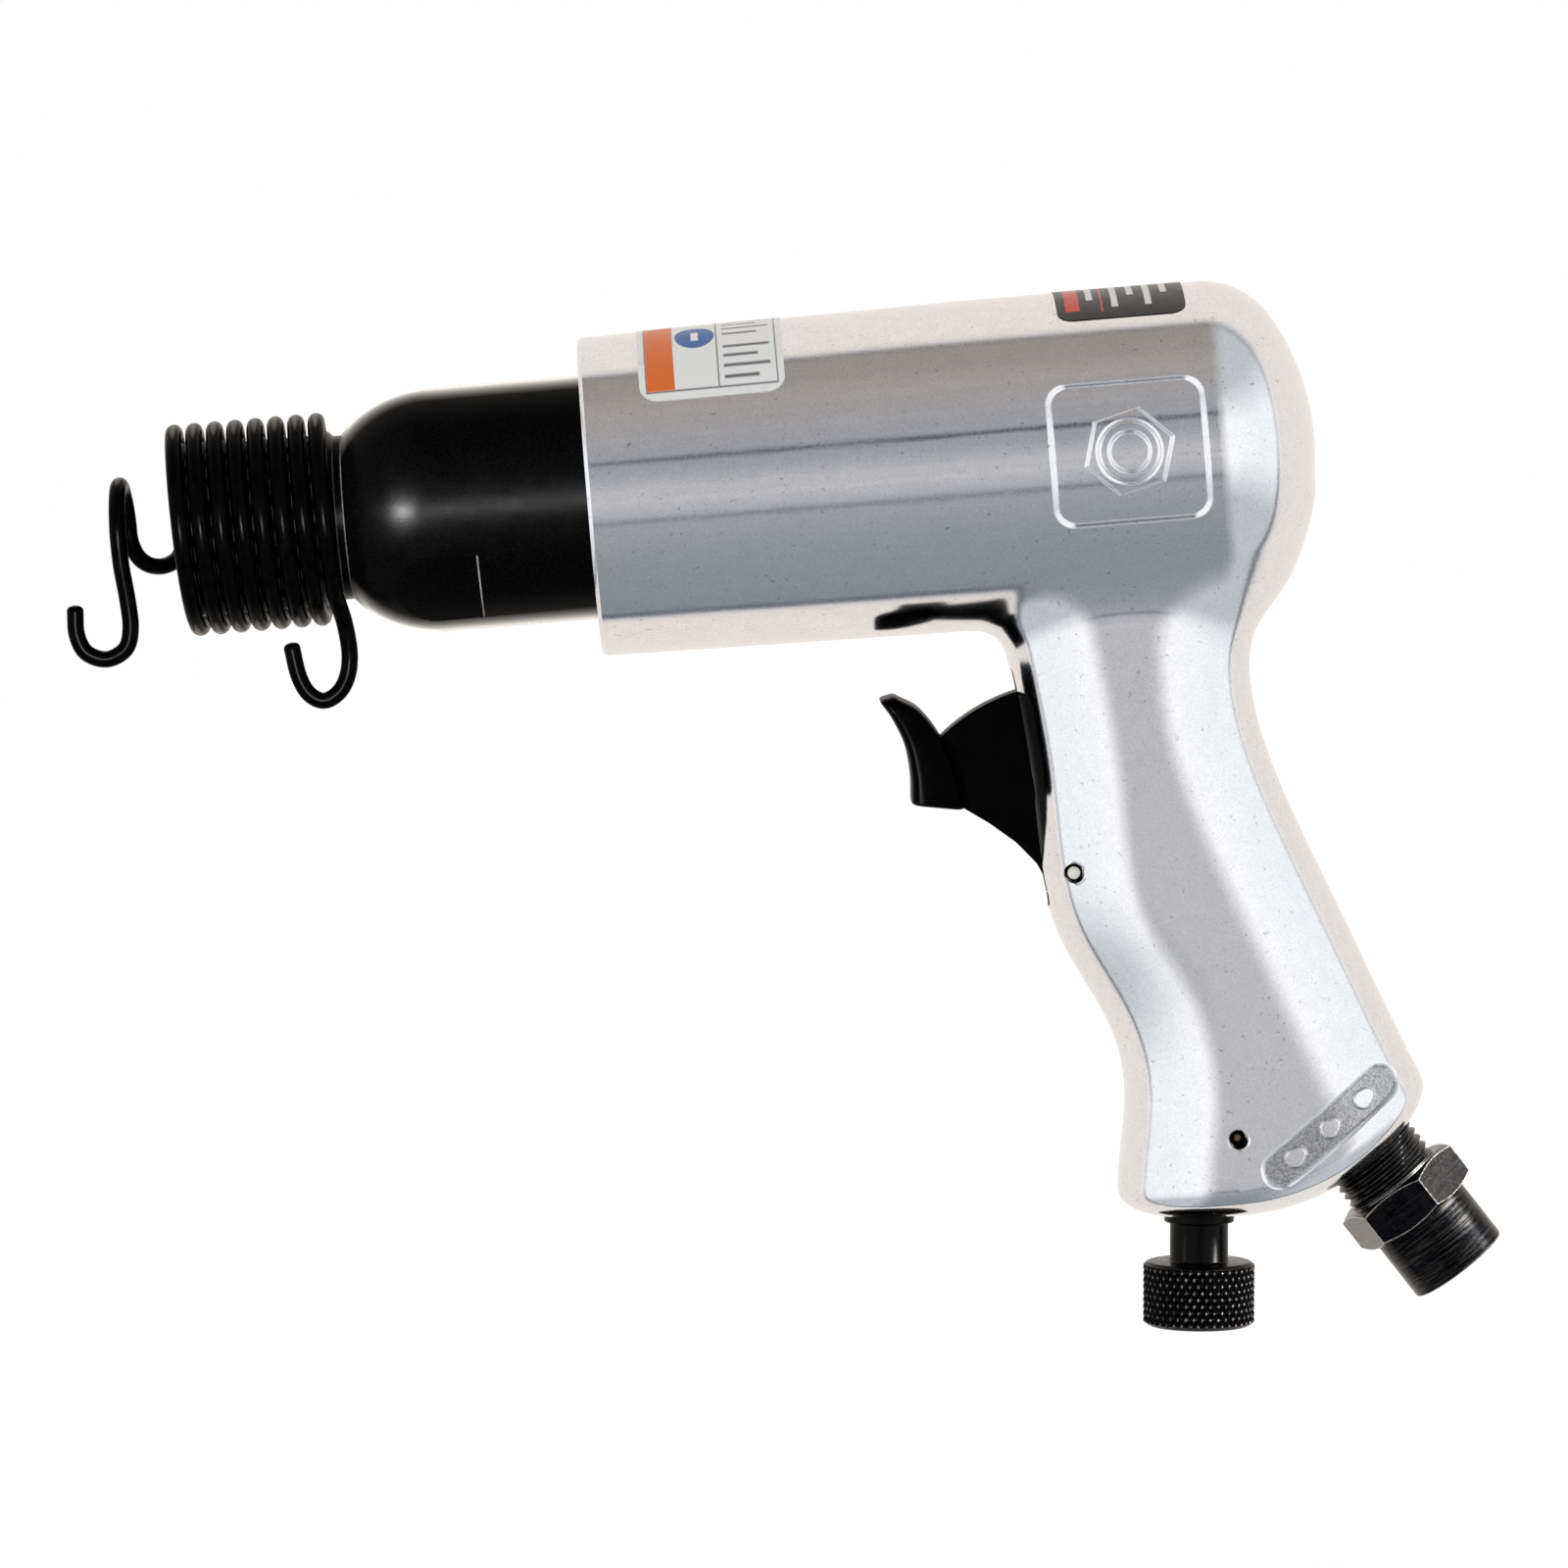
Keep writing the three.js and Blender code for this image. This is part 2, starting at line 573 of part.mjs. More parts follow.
// ---- air inlet, drawn about its own leaning axis with its outer face at zero ----
function inletBushing() {
  const { end, thread, bore, inner } = INLET;
  const round = solid(turnedUp([
    [0, 0], [0, end - 0.4], [0.4, end], [HEX.near + 0.4, end], [HEX.near + 0.4, thread], [inner - 1, thread],
    [inner, thread - 1], [inner, 0],
  ]));
  const hexRadius = HEX.acrossFlats / Math.sqrt(3);
  const prism = solid(new THREE.CylinderGeometry(hexRadius, hexRadius, HEX.far - HEX.near, 6)
    .rotateX(Math.PI / 2).rotateZ(radians(HEX.turn)).translate(0, 0, (HEX.near + HEX.far) / 2));
  const chamfer = solid(turnedUp([
    [HEX.near, 0], [HEX.near, HEX.rim], [HEX.near + HEX.chamfer, hexRadius + 0.1],
    [HEX.far - HEX.chamfer, hexRadius + 0.1], [HEX.far, HEX.rim], [HEX.far, 0],
  ]));
  const airway = solid(turnedUp([
    [-1, 0], [-1, bore + 0.9], [0.8, bore + 0.6], [13, bore], [24, bore - 1.6], [25, bore - 0.4],
    [inner + 1, bore - 0.4], [inner + 1, 0],
  ]));
  return cut(join(round, prism.intersect(chamfer)), airway);
}

function inletScreen() {
  return solid(turnedUp(closed([[26, 0.8], [32.4, 3.4], [32.4, 4.8], [33, 4.8], [33, 3], [26.6, 0.6],
    [26.6, 0.4], [26, 0.4]]), 24));
}

// ---- labels: film that lies over the top of the shell, clear of it by the lift ----
function label({ from, to, low, high }) {
  const far = 60;
  const rim = arc(0, 0, far, low, high, 6);
  const wedge = new THREE.Shape([[0, 0], ...rim].map(([y, z]) => new THREE.Vector2(y, z)));
  const sector = new THREE.ExtrudeGeometry(wedge, { depth: to - from, bevelEnabled: false })
    .rotateX(Math.PI / 2).rotateZ(Math.PI / 2).translate(from, 0, 0);
  const skin = solid(shell(LABEL.lift + LABEL.thickness)).subtract(solid(shell(LABEL.lift)));
  return skin.intersect(solid(sector));
}

// ---- assembly ----
const frame = new THREE.Group();
frame.add(
  piece('handle_housing', housing(), 'polishedAluminium'),
  piece('barrel', barrel(), 'blackSteel'),
  piece('barrel_seal', solid(sealRing(58.6, 20.6, 0.7)), 'rubber'),
  piece('piston', piston(), 'toolSteel'),
  piece('valve_seat', valveSeat(), 'toolSteel'),
  piece('valve_plate', valvePlate(), 'toolSteel'),
  piece('valve_block', valveBlock(), 'toolSteel'),
  piece('valve_dowel', solid(turnedRod(DOWEL.from, DOWEL.to, DOWEL.radius, 12).translate(0, 0, DOWEL.offset)),
    'brightSteel'),
  piece('valve_gasket', valveGasket(), 'rubber'),
  piece('retainer_spring', retainer(), 'springWire'),
  piece('trigger', trigger(), 'blackComposite'),
  piece('trigger_pin', solid(crossPin(PIVOT, PIVOT.pin, 11.6)), 'brightSteel'),
  piece('throttle_plunger', plunger(), 'brightSteel'),
  piece('plunger_bushing', plungerBushing(), 'brass'),
  piece('plunger_seal', plungerSeal(), 'rubber'),
  piece('throttle_seat', throttleSeat(), 'brass'),
  piece('throttle_valve', throttleValve(), 'toolSteel'),
  piece('throttle_spring', throttleSpring(), 'brightSteel'),
  piece('regulator_pin', solid(crossPin(STOP_PIN, STOP_PIN.pin, STOP_PIN.halfLength)), 'brightSteel'),
  piece('safety_label', label(SAFETY_LABEL), 'whiteFilm'),
  piece('rating_label', label(RATING_LABEL), 'blackFilm'),
);

const regulatorGroup = new THREE.Group();
regulatorGroup.position.set(REGULATOR.x, 0, REGULATOR.z);
regulatorGroup.rotation.y = radians(REGULATOR.lean);
regulatorGroup.add(
  piece('regulator', regulator(), 'blackSteel'),
  piece('regulator_seal', regulatorSeal(), 'rubber'),
);

const inletGroup = new THREE.Group();
inletGroup.position.set(INLET.x, 0, INLET.z);
inletGroup.rotation.y = radians(INLET.lean);
inletGroup.add(
  piece('inlet_bushing', inletBushing(), 'wornSteel'),
  piece('inlet_screen', inletScreen(), 'brass'),
);

frame.add(regulatorGroup, inletGroup);
frame.position.set(-GRIP.x, 0, -GRIP.z);

const airHammer = new THREE.Group();
airHammer.add(frame);

export default airHammer;
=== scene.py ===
"""Looks of a pneumatic air hammer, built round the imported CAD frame.

Shapes are drawn in millimetres about the barrel: the barrel axis is the X axis, x = 0 is the front
face of the housing and +X runs to the rear. to_frame() turns them into the row frame in metres.
"""

import math

import bpy
import bmesh
import numpy as np
from mathutils import Matrix, Vector


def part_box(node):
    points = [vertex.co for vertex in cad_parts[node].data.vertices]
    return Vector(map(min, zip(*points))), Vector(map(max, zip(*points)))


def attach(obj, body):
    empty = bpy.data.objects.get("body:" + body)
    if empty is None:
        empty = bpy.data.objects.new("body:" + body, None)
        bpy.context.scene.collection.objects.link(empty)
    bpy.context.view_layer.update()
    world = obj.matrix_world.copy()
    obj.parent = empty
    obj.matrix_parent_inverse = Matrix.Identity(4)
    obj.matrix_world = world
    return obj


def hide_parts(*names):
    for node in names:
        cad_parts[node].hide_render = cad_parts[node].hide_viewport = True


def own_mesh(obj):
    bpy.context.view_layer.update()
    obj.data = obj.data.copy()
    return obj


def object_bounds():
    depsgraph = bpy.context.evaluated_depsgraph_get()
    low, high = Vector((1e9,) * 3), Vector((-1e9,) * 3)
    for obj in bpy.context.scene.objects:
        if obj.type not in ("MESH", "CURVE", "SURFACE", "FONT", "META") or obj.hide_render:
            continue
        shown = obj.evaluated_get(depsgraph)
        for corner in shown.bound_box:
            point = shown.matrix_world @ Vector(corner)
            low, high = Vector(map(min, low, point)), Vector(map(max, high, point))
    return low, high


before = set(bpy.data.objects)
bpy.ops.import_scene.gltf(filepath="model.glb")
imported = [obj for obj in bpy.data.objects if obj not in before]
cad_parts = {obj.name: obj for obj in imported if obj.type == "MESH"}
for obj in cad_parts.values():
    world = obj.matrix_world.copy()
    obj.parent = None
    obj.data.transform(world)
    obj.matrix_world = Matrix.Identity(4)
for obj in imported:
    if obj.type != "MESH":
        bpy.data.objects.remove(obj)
CAD_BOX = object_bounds()
MM = 0.001

HOUSING_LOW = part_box("handle_housing")[0]
PISTON_LOW, PISTON_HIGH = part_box("piston")
ORIGIN = Vector((HOUSING_LOW.x, 0.0, (PISTON_LOW.z + PISTON_HIGH.z) / 2))

# ---- driving dimensions, millimetres ----
SHELL = {"front": 25.5, "rear": 26.4, "taper_end": 62.0, "corner_start": 99.2, "corner": 13.3, "tip": 116.1}
CHAMBER = [(0, 21.5), (60, 21.5), (60, 19.8), (76.6, 19.8), (76.6, 17), (103, 17), (103, 0)]
FRONT_EDGE = [(-10, 61.6), (-33, 64.6), (-50, 66.3), (-64, 66.8), (-77.5, 69.6), (-90.2, 75.6), (-102, 77.7),
              (-112, 76.2), (-124, 74.6)]
BACK_EDGE = [(-10, 113.0), (-22.5, 108.4), (-31, 103.9), (-39, 103.0), (-58.2, 107.7), (-77.7, 115.2),
             (-97.3, 122.8), (-107.5, 127.0), (-124, 133.0)]
GRIP_TOP = -10.0
GRIP_POWER = 2.4
GRIP_ROUND = 18.0
GRIP_HALF_WIDTH = (16.4, 17.6)
BUTT = {"floor": -123.3, "bend_x": 106.5, "slope": 35.0, "round": 6.0, "blend": 7.0}
ROOT_BLEND = 5.0

BARREL = {"radius": 19.45, "rear": 76.4, "shoulder": -25.0, "ogive": 18.4, "nose": -65.95,
          "nose_radius": 13.9, "bore": 9.5, "shank": 5.15}
NECK_RADIUS = 13.1
NOSE_THREAD = {"start": -42.1, "depth": 0.5}
FLAT = {"distance": 18.2, "angle": 42.0, "middle": -33.2}
WIRE = 1.34
COIL = {"radius": 15.7, "pitch": 3.257, "rear_top": -42.7, "start": -50.0, "end": 2700.0}
LOOP = {"radius": 8.0, "rear": -74.7, "front": -75.2}

PIVOT = (71.9, -65.5)
PIN_RADIUS = 1.6
TRIGGER = {"web": 4.1, "finger": 7.4, "fan": 29.8, "boss": 4.5}
TRIGGER_SLOT = {"front": 58, "rear": 78, "width": 10, "height": 38.7, "corner": 2.2, "z": -51.85}
THROTTLE = {"front": 58, "rear": 101.3, "radius": 5.6, "z": -52}
REGULATOR = {"x": 88.1, "z": -123.1, "lean": 4.7, "bore": 5.95, "depth": 34.0}
STOP_PIN = (94.4, -109.6)
STOP_PIN_RADIUS = 1.55
SPRING = {"radius": 3.3, "turns": 3.5}
INLET = {"x": 129.2, "z": -134.7, "lean": -33.5, "end": 8.45, "thread": 8.0, "pitch": 1.41, "bore": 5.6}
HEX = {"near": 10.6, "far": 17.2, "across": 19.0, "turn": 18.0, "chamfer": 9.45}
HEX_CORNER = HEX["across"] / math.sqrt(3)
BADGE = {"x": 85.3, "z": 1.0, "width": 24.2, "height": 22.8, "corner": 3.2, "depth": 0.5}
NUT = {"turn": 0.26, "flat": 6.2, "ring": 4.9, "hole": 3.2}
OIL_PLATE = {"x": 109.2, "z": -108.8, "length": 26.5, "height": 5.6, "rise": 36.0, "depth": 0.5}


# ---- shapes ----
def to_frame(points):
    return np.asarray(points, float) * MM + np.array(ORIGIN)


def leaning(spot, points):
    """Points drawn about a leaning axis, whose own zero is at the spot's x and z."""
    p = np.asarray(points, float)
    cos, sin = math.cos(math.radians(spot["lean"])), math.sin(math.radians(spot["lean"]))
    x = p[:, 0] * cos + p[:, 2] * sin + spot["x"]
    z = -p[:, 0] * sin + p[:, 2] * cos + spot["z"]
    return np.column_stack([x, p[:, 1], z])


def upright(points):
    """Turns a shape drawn about the X axis so that it stands about the Z axis."""
    return points[:, [1, 2, 0]]


def stand(shape, spot):
    """Stands a shape drawn about the X axis on a leaning axis."""
    return leaning(spot, upright(shape[0])), shape[1]


def cross(shape, spot):
    """Lays a shape drawn about the X axis along Y, at the spot's x and z."""
    return shape[0][:, [2, 0, 1]] + (spot[0], 0, spot[1]), shape[1]


def spokes(sides):
    """Even angles round a circle."""
    return 2 * math.pi * np.arange(sides) / sides


def soften(profile, radius=0.3, steps=3, closed=False):
    """Rounds the corners of a profile with short curves."""
    pts = [np.array(p, float) for p in profile]
    out = []
    for i, corner in enumerate(pts):
        if not closed and i in (0, len(pts) - 1):
            out.append(corner)
            continue
        before, after = pts[i - 1], pts[(i + 1) % len(pts)]
        reach_a = min(radius, np.linalg.norm(before - corner) * 0.45)
        reach_b = min(radius, np.linalg.norm(after - corner) * 0.45)
        a = corner + (before - corner) / max(np.linalg.norm(before - corner), 1e-9) * reach_a
        b = corner + (after - corner) / max(np.linalg.norm(after - corner), 1e-9) * reach_b
        for t in np.linspace(0, 1, steps + 1):
            out.append((1 - t) ** 2 * a + 2 * t * (1 - t) * corner + t ** 2 * b)
    return np.array(out)


def wall_faces(rows, cols):
    """The faces between each closed ring of points and the next."""
    return [(r * cols + c, r * cols + (c + 1) % cols, (r + 1) * cols + (c + 1) % cols, (r + 1) * cols + c)
            for r in range(rows - 1) for c in range(cols)]


def ring_stack(rings):
    """Joins rings of points into one solid, with a vertex in the middle of each end."""
    rings = np.asarray(rings, float)
    rows, cols = rings.shape[:2]
    points = np.vstack([rings.reshape(-1, 3), rings[0].mean(0), rings[-1].mean(0)])
    faces = wall_faces(rows, cols)
    first, last, top = rows * cols, rows * cols + 1, (rows - 1) * cols
    for c in range(cols):
        d = (c + 1) % cols
        faces += [(first, d, c), (last, top + c, top + d)]
    return points, faces


def revolve(profile, sides=96, cut=0.0):
    """A profile of (along, radius) turned about the X axis. cut lowers its radius, by point and angle."""
    profile = np.asarray(profile, float)
    angle = spokes(sides)
    along = np.repeat(profile[:, 0:1], sides, axis=1)
    radius = np.repeat(profile[:, 1:2], sides, axis=1) - cut
    return ring_stack(np.stack([along, radius * np.cos(angle), radius * np.sin(angle)], axis=2))


def rounded_outline(width, height, corner, per_corner=9):
    out = []
    for k, (sx, sy) in enumerate([(1, 1), (-1, 1), (-1, -1), (1, -1)]):
        for t in np.linspace(0, 90, per_corner):
            a = math.radians(90 * k + t)
            out.append((sx * (width / 2 - corner) + corner * math.cos(a),
                        sy * (height / 2 - corner) + corner * math.sin(a)))
    return np.array(out)


def outward(outline):
    """Unit normals of a closed outline that runs anticlockwise."""
    step = np.roll(outline, -1, axis=0) - np.roll(outline, 1, axis=0)
    normal = np.column_stack([step[:, 1], -step[:, 0]])
    return normal / np.linalg.norm(normal, axis=1)[:, None]


def slab(outline, half, edge, steps=4):
    """An (x, z) outline given thickness along Y, with round edges."""
    outline = np.asarray(outline, float)
    area = np.sum(outline[:, 0] * np.roll(outline[:, 1], -1) - np.roll(outline[:, 0], -1) * outline[:, 1])
    if area < 0:
        outline = outline[::-1]
    normal = outward(outline)
    levels = [(half - edge + edge * math.sin(a), edge * (1 - math.cos(a)))
              for a in np.linspace(math.pi / 2, 0, steps + 1)]
    levels += [(-y, inset) for y, inset in reversed(levels)]
    rings = []
    for y, inset in levels:
        flat = outline - normal * inset
        rings.append(np.column_stack([flat[:, 0], np.full(len(flat), y), flat[:, 1]]))
    cols, rows = len(outline), len(rings)
    faces = wall_faces(rows, cols)
    faces += [tuple(range(cols - 1, -1, -1)), tuple((rows - 1) * cols + c for c in range(cols))]
    return np.vstack(rings), faces


def smooth_curve(points, per_span=6):
    """Catmull-Rom curve through given points."""
    p = np.asarray(points, float)
    p = np.vstack([2 * p[0] - p[1], p, 2 * p[-1] - p[-2]])
    out = []
    for a, b, c, d in zip(p[:-3], p[1:-2], p[2:-1], p[3:]):
        for t in np.arange(per_span) / per_span:
            out.append(0.5 * (2 * b + (c - a) * t + (2 * a - 5 * b + 4 * c - d) * t * t
                              + (3 * b - a - 3 * c + d) * t ** 3))
    out.append(p[-2])
    return np.array(out)


def raw_object(name, shape):
    points, faces = shape
    mesh = bpy.data.meshes.new(name)
    mesh.from_pydata([tuple(p) for p in points], [], [tuple(f) for f in faces])
    mesh.validate()
    bm = bmesh.new()
    bm.from_mesh(mesh)
    bmesh.ops.remove_doubles(bm, verts=bm.verts, dist=1e-5)
    bmesh.ops.recalc_face_normals(bm, faces=bm.faces)
    bm.to_mesh(mesh)
    bm.free()
    obj = bpy.data.objects.new(name, mesh)
    bpy.context.scene.collection.objects.link(obj)
    return obj


def combine(body, operation, tools):
    """Boolean of a body with other shapes, which are used up."""
    for k, tool in enumerate(tools):
        other = raw_object(f"{body.name}_tool_{k}", tool) if isinstance(tool, tuple) else tool
        modifier = body.modifiers.new("boolean", "BOOLEAN")
        modifier.operation = operation
        modifier.solver = "MANIFOLD"
        modifier.object = other
        bpy.context.view_layer.update()
        graph = bpy.context.evaluated_depsgraph_get()
        mesh = bpy.data.meshes.new_from_object(body.evaluated_get(graph))
        body.modifiers.clear()
        body.data = mesh
        bpy.data.objects.remove(other)
    return body


def carve(body, *tools):
    return combine(body, "DIFFERENCE", tools)


def weld(body, *tools):
    return combine(body, "UNION", tools)


def points_of(obj):
    co = np.zeros(len(obj.data.vertices) * 3)
    obj.data.vertices.foreach_get("co", co)
    return co.reshape(-1, 3)


def reshape(obj, change):
    """Moves all of a mesh's points by one function."""
    obj.data.vertices.foreach_set("co", change(points_of(obj)).ravel())
    obj.data.update()


def mark(obj, name, values):
    """Keeps a number from 0 to 1 at each point, for a material to read."""
    obj.data.attributes.new(name, "FLOAT", "POINT").data.foreach_set("value", np.clip(values, 0, 1))


def settle(obj, material, node, body, sharp):
    """Moves a finished shape into the row frame, gives it its material and stands it in for its CAD node."""
    reshape(obj, to_frame)
    mesh = obj.data
    mesh.shade_smooth()
    mesh.set_sharp_from_angle(angle=math.radians(sharp))
    mesh.materials.clear()
    mesh.materials.append(material)
    for polygon in mesh.polygons:
        polygon.material_index = 0
    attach(obj, body)
    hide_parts(node)
    return obj


# ---- housing skin: a distance field, then a surface net pulled on to it ----
class Spline:
    """Natural cubic spline x(z) through given (z, x) points."""

    def __init__(self, knots):
        knots = sorted(knots)
        self.z, self.x = np.array(knots, float).T
        n, h = len(knots), np.diff(self.z)
        matrix, right = np.eye(n), np.zeros(n)
        for i in range(1, n - 1):
            matrix[i, i - 1:i + 2] = h[i - 1], 2 * (h[i - 1] + h[i]), h[i]
            right[i] = 6 * ((self.x[i + 1] - self.x[i]) / h[i] - (self.x[i] - self.x[i - 1]) / h[i - 1])
        self.h, self.bend = h, np.linalg.solve(matrix, right)

    def __call__(self, z):
        z = np.clip(z, self.z[0], self.z[-1])
        i = np.clip(np.searchsorted(self.z, z) - 1, 0, len(self.h) - 1)
        h, a, b = self.h[i], self.z[i + 1] - z, z - self.z[i]
        ma, mb = self.bend[i], self.bend[i + 1]
        ca, cb = self.x[i] / h - ma * h / 6, self.x[i + 1] / h - mb * h / 6
        value = (ma * a ** 3 + mb * b ** 3) / (6 * h) + ca * a + cb * b
        slope = (mb * b ** 2 - ma * a ** 2) / (2 * h) - ca + cb
        return value, slope


FRONT_CURVE, BACK_CURVE = Spline(FRONT_EDGE), Spline(BACK_EDGE)


def shell_radius(x):
    slope = (SHELL["rear"] - SHELL["front"]) / SHELL["taper_end"]
    return np.minimum(SHELL["front"] + slope * x, SHELL["rear"])


def shell_distance(x, r):
    start, corner, tip = SHELL["corner_start"], SHELL["corner"], SHELL["tip"]
    middle, reach = SHELL["rear"] - corner, tip - start
    crown = (reach ** 2 + middle ** 2 - corner ** 2) / (2 * (reach - corner))
    crown_x = tip - crown
    wall = r - shell_radius(x)
    dx, dr = x - start, r - middle
    dome = np.where(dr * (start - crown_x) > dx * middle, np.hypot(dx, dr) - corner,
                    np.hypot(x - crown_x, r) - crown)
    return np.where(dx < 0, wall, dome)


def smooth_least(a, b, blend):
    near = np.maximum(blend - np.abs(a - b), 0) / blend
    return np.minimum(a, b) - near ** 2 * blend / 4


def grip_distance(x, y, z):
    front_x, front_slope = FRONT_CURVE(z)
    back_x, back_slope = BACK_CURVE(z)
    lean = math.radians(BUTT["slope"])
    sloped = (x - BUTT["bend_x"]) * math.sin(lean) - (z - BUTT["floor"]) * math.cos(lean)
    bottom = -smooth_least(z - BUTT["floor"], -sloped, BUTT["blend"])
    half = np.interp(z, [BUTT["floor"], GRIP_TOP], GRIP_HALF_WIDTH[::-1])
    parts = [((front_x - x) / np.hypot(1, front_slope), GRIP_ROUND),
             ((x - back_x) / np.hypot(1, back_slope), GRIP_ROUND),
             (bottom, BUTT["round"]), (np.abs(y) - half, half)]
    total, steep = 0.0, 0.0
    for depth, reach in parts:
        share = np.maximum(1 + depth / reach, 0)
        total = total + share ** GRIP_POWER
        steep = steep + (share ** (GRIP_POWER - 1) / reach) ** 2
    size = np.maximum(total, 1e-6) ** (1 / GRIP_POWER)
    distance = (size - 1) / np.maximum(np.sqrt(steep) * size ** (1 - GRIP_POWER), 0.02)
    return np.maximum(np.maximum(distance, -12), z - GRIP_TOP)


def skin_distance(x, y, z):
    shell = np.maximum(shell_distance(x, np.hypot(y, z)), -2 - x)
    return smooth_least(shell, grip_distance(x, y, z), ROOT_BLEND)


def skin_gradient(p, step=0.02):
    out = np.zeros_like(p)
    for k in range(3):
        ahead, behind = p.copy(), p.copy()
        ahead[:, k] += step
        behind[:, k] -= step
        out[:, k] = (skin_distance(*ahead.T) - skin_distance(*behind.T)) / (2 * step)
    return out


def surface_net(distance, low, high, cell):
    """One vertex in each grid cell that the surface crosses, and one face for each such grid edge."""
    axes = [np.arange(a, b + cell, cell) for a, b in zip(low, high)]
    field = distance(*np.meshgrid(*axes, indexing="ij", sparse=True))
    shape = np.array(field.shape) - 1
    total, count = np.zeros((*shape, 3)), np.zeros(shape)
    for axis in range(3):
        others = [k for k in range(3) if k != axis]
        for i in (0, 1):
            for j in (0, 1):
                first = [slice(0, -1)] * 3
                first[others[0]] = slice(i, i + shape[others[0]])
                first[others[1]] = slice(j, j + shape[others[1]])
                second = list(first)
                second[axis] = slice(1, None)
                a, b = field[tuple(first)], field[tuple(second)]
                crossed = (a < 0) != (b < 0)
                t = np.where(crossed, a / np.where(crossed, a - b, 1), 0)
                total[..., axis] += t
                total[..., others[0]] += i * crossed
                total[..., others[1]] += j * crossed
                count += crossed
    used = count > 0
    label = np.full(shape, -1)
    label[used] = np.arange(used.sum())
    where = np.argwhere(used)
    points = np.array(low) + (where + total[used] / count[used][:, None]) * cell
    faces = []
    inside = field < 0
    for axis in range(3):
        b, c = (axis + 1) % 3, (axis + 2) % 3
        first = [slice(None)] * 3
        first[axis] = slice(0, -1)
        second = [slice(None)] * 3
        second[axis] = slice(1, None)
        crossed = inside[tuple(first)] != inside[tuple(second)]
        at = np.argwhere(crossed)
        at = at[(at[:, b] > 0) & (at[:, c] > 0) & (at[:, b] < shape[b]) & (at[:, c] < shape[c])]
        flip = inside[tuple(at.T)]
        corners = []
        for db, dc in ((-1, -1), (0, -1), (0, 0), (-1, 0)):
            cell_at = at.copy()
            cell_at[:, b] += db
            cell_at[:, c] += dc
            corners.append(label[tuple(cell_at.T)])
        quads = np.column_stack(corners)
        quads[~flip] = quads[~flip][:, ::-1]
        faces.append(quads)
    return points, np.vstack(faces)


def skin_side(x, z):
    """How far the skin stands out along -Y at one place."""
    near, far = 2.0, 30.0
    for _ in range(40):
        middle = (near + far) / 2
        inside = skin_distance(np.array([x]), np.array([-middle]), np.array([z]))[0] < 0
        near, far = (middle, far) if inside else (near, middle)
    return near


def box_distance(u, v, width, height, corner):
    """Signed distance to a rectangle with round corners."""
    du, dv = np.abs(u) - width / 2 + corner, np.abs(v) - height / 2 + corner
    return np.hypot(np.maximum(du, 0), np.maximum(dv, 0)) + np.minimum(np.maximum(du, dv), 0) - corner


def step_down(distance, wall=0.28):
    """1 inside an outline, 0 outside, with a smooth wall between."""
    t = np.clip(0.5 - distance / (2 * wall), 0, 1)
    return t * t * (3 - 2 * t)


def badge_depth(x, y, z):
    """A shallow panel with a plain hexagon nut raised on its floor."""
    u = x - BADGE["x"]
    v = SHELL["rear"] * np.arctan2(z, -y) - BADGE["z"]
    panel = step_down(box_distance(u, v, BADGE["width"], BADGE["height"], BADGE["corner"]), 0.5)
    away, turned = np.hypot(u, v), np.arctan2(v, u) - NUT["turn"]
    to_flat = (turned % (math.pi / 3)) - math.pi / 6
    nut = away * np.cos(to_flat) - NUT["flat"]
    ring = np.abs(away - NUT["ring"]) - 0.25
    hole = NUT["hole"] - away
    raised = step_down(np.maximum(nut, hole), 0.32) * (1 - 0.35 * step_down(ring, 0.25))
    return BADGE["depth"] * panel * (1 - 0.8 * raised)


def plate_depth(x, y, z):
    """A stadium-shaped panel with three raised drops on its floor."""
    rise = math.radians(OIL_PLATE["rise"])
    dx, dz = x - OIL_PLATE["x"], z - OIL_PLATE["z"]
    u = dx * math.cos(rise) + dz * math.sin(rise)
    v = dz * math.cos(rise) - dx * math.sin(rise)
    height = OIL_PLATE["height"]
    panel = step_down(box_distance(u, v, OIL_PLATE["length"], height, height / 2), 0.4)
    raised = 0
    for drop_at in (-7.6, -0.4, 6.8):
        along = u - drop_at
        size = 1.5 * (1 - 0.4 * np.clip(along / 3.2, 0, 1))
        drop = np.hypot(np.where(along > 0, along * 0.5, along), v) - size
        raised = np.maximum(raised, step_down(drop, 0.2))
    return OIL_PLATE["depth"] * panel * (1 - 0.85 * raised)


def refine(obj, places, cuts=6):
    """Cuts the faces near some (x, z, reach) places on the -Y side into a fine grid."""
    bm = bmesh.new()
    bm.from_mesh(obj.data)
    edges = set()
    for face in bm.faces:
        middle = face.calc_center_median()
        for x, z, reach in places:
            if middle.y < -3 and max(abs(middle.x - x), abs(middle.z - z)) < reach:
                edges.update(face.edges)
    bmesh.ops.subdivide_edges(bm, edges=list(edges), cuts=cuts, use_grid_fill=True)
    bm.to_mesh(obj.data)
    bm.free()


def pull_to_skin(points, rounds=5):
    for _ in range(rounds):
        gradient = skin_gradient(points)
        level = skin_distance(*points.T)
        step = np.clip(level / np.maximum((gradient ** 2).sum(1), 1e-4), -0.6, 0.6)
        points = points - gradient * step[:, None]
    return points


def emboss(points):
    """Sinks the badge and the oil plate into the near side."""
    x, y, z = points.T
    depth = np.where(y < -3, badge_depth(x, y, z) + plate_depth(x, y, z), 0)
    gradient = skin_gradient(points)
    return points - gradient / np.linalg.norm(gradient, axis=1)[:, None] * depth[:, None]


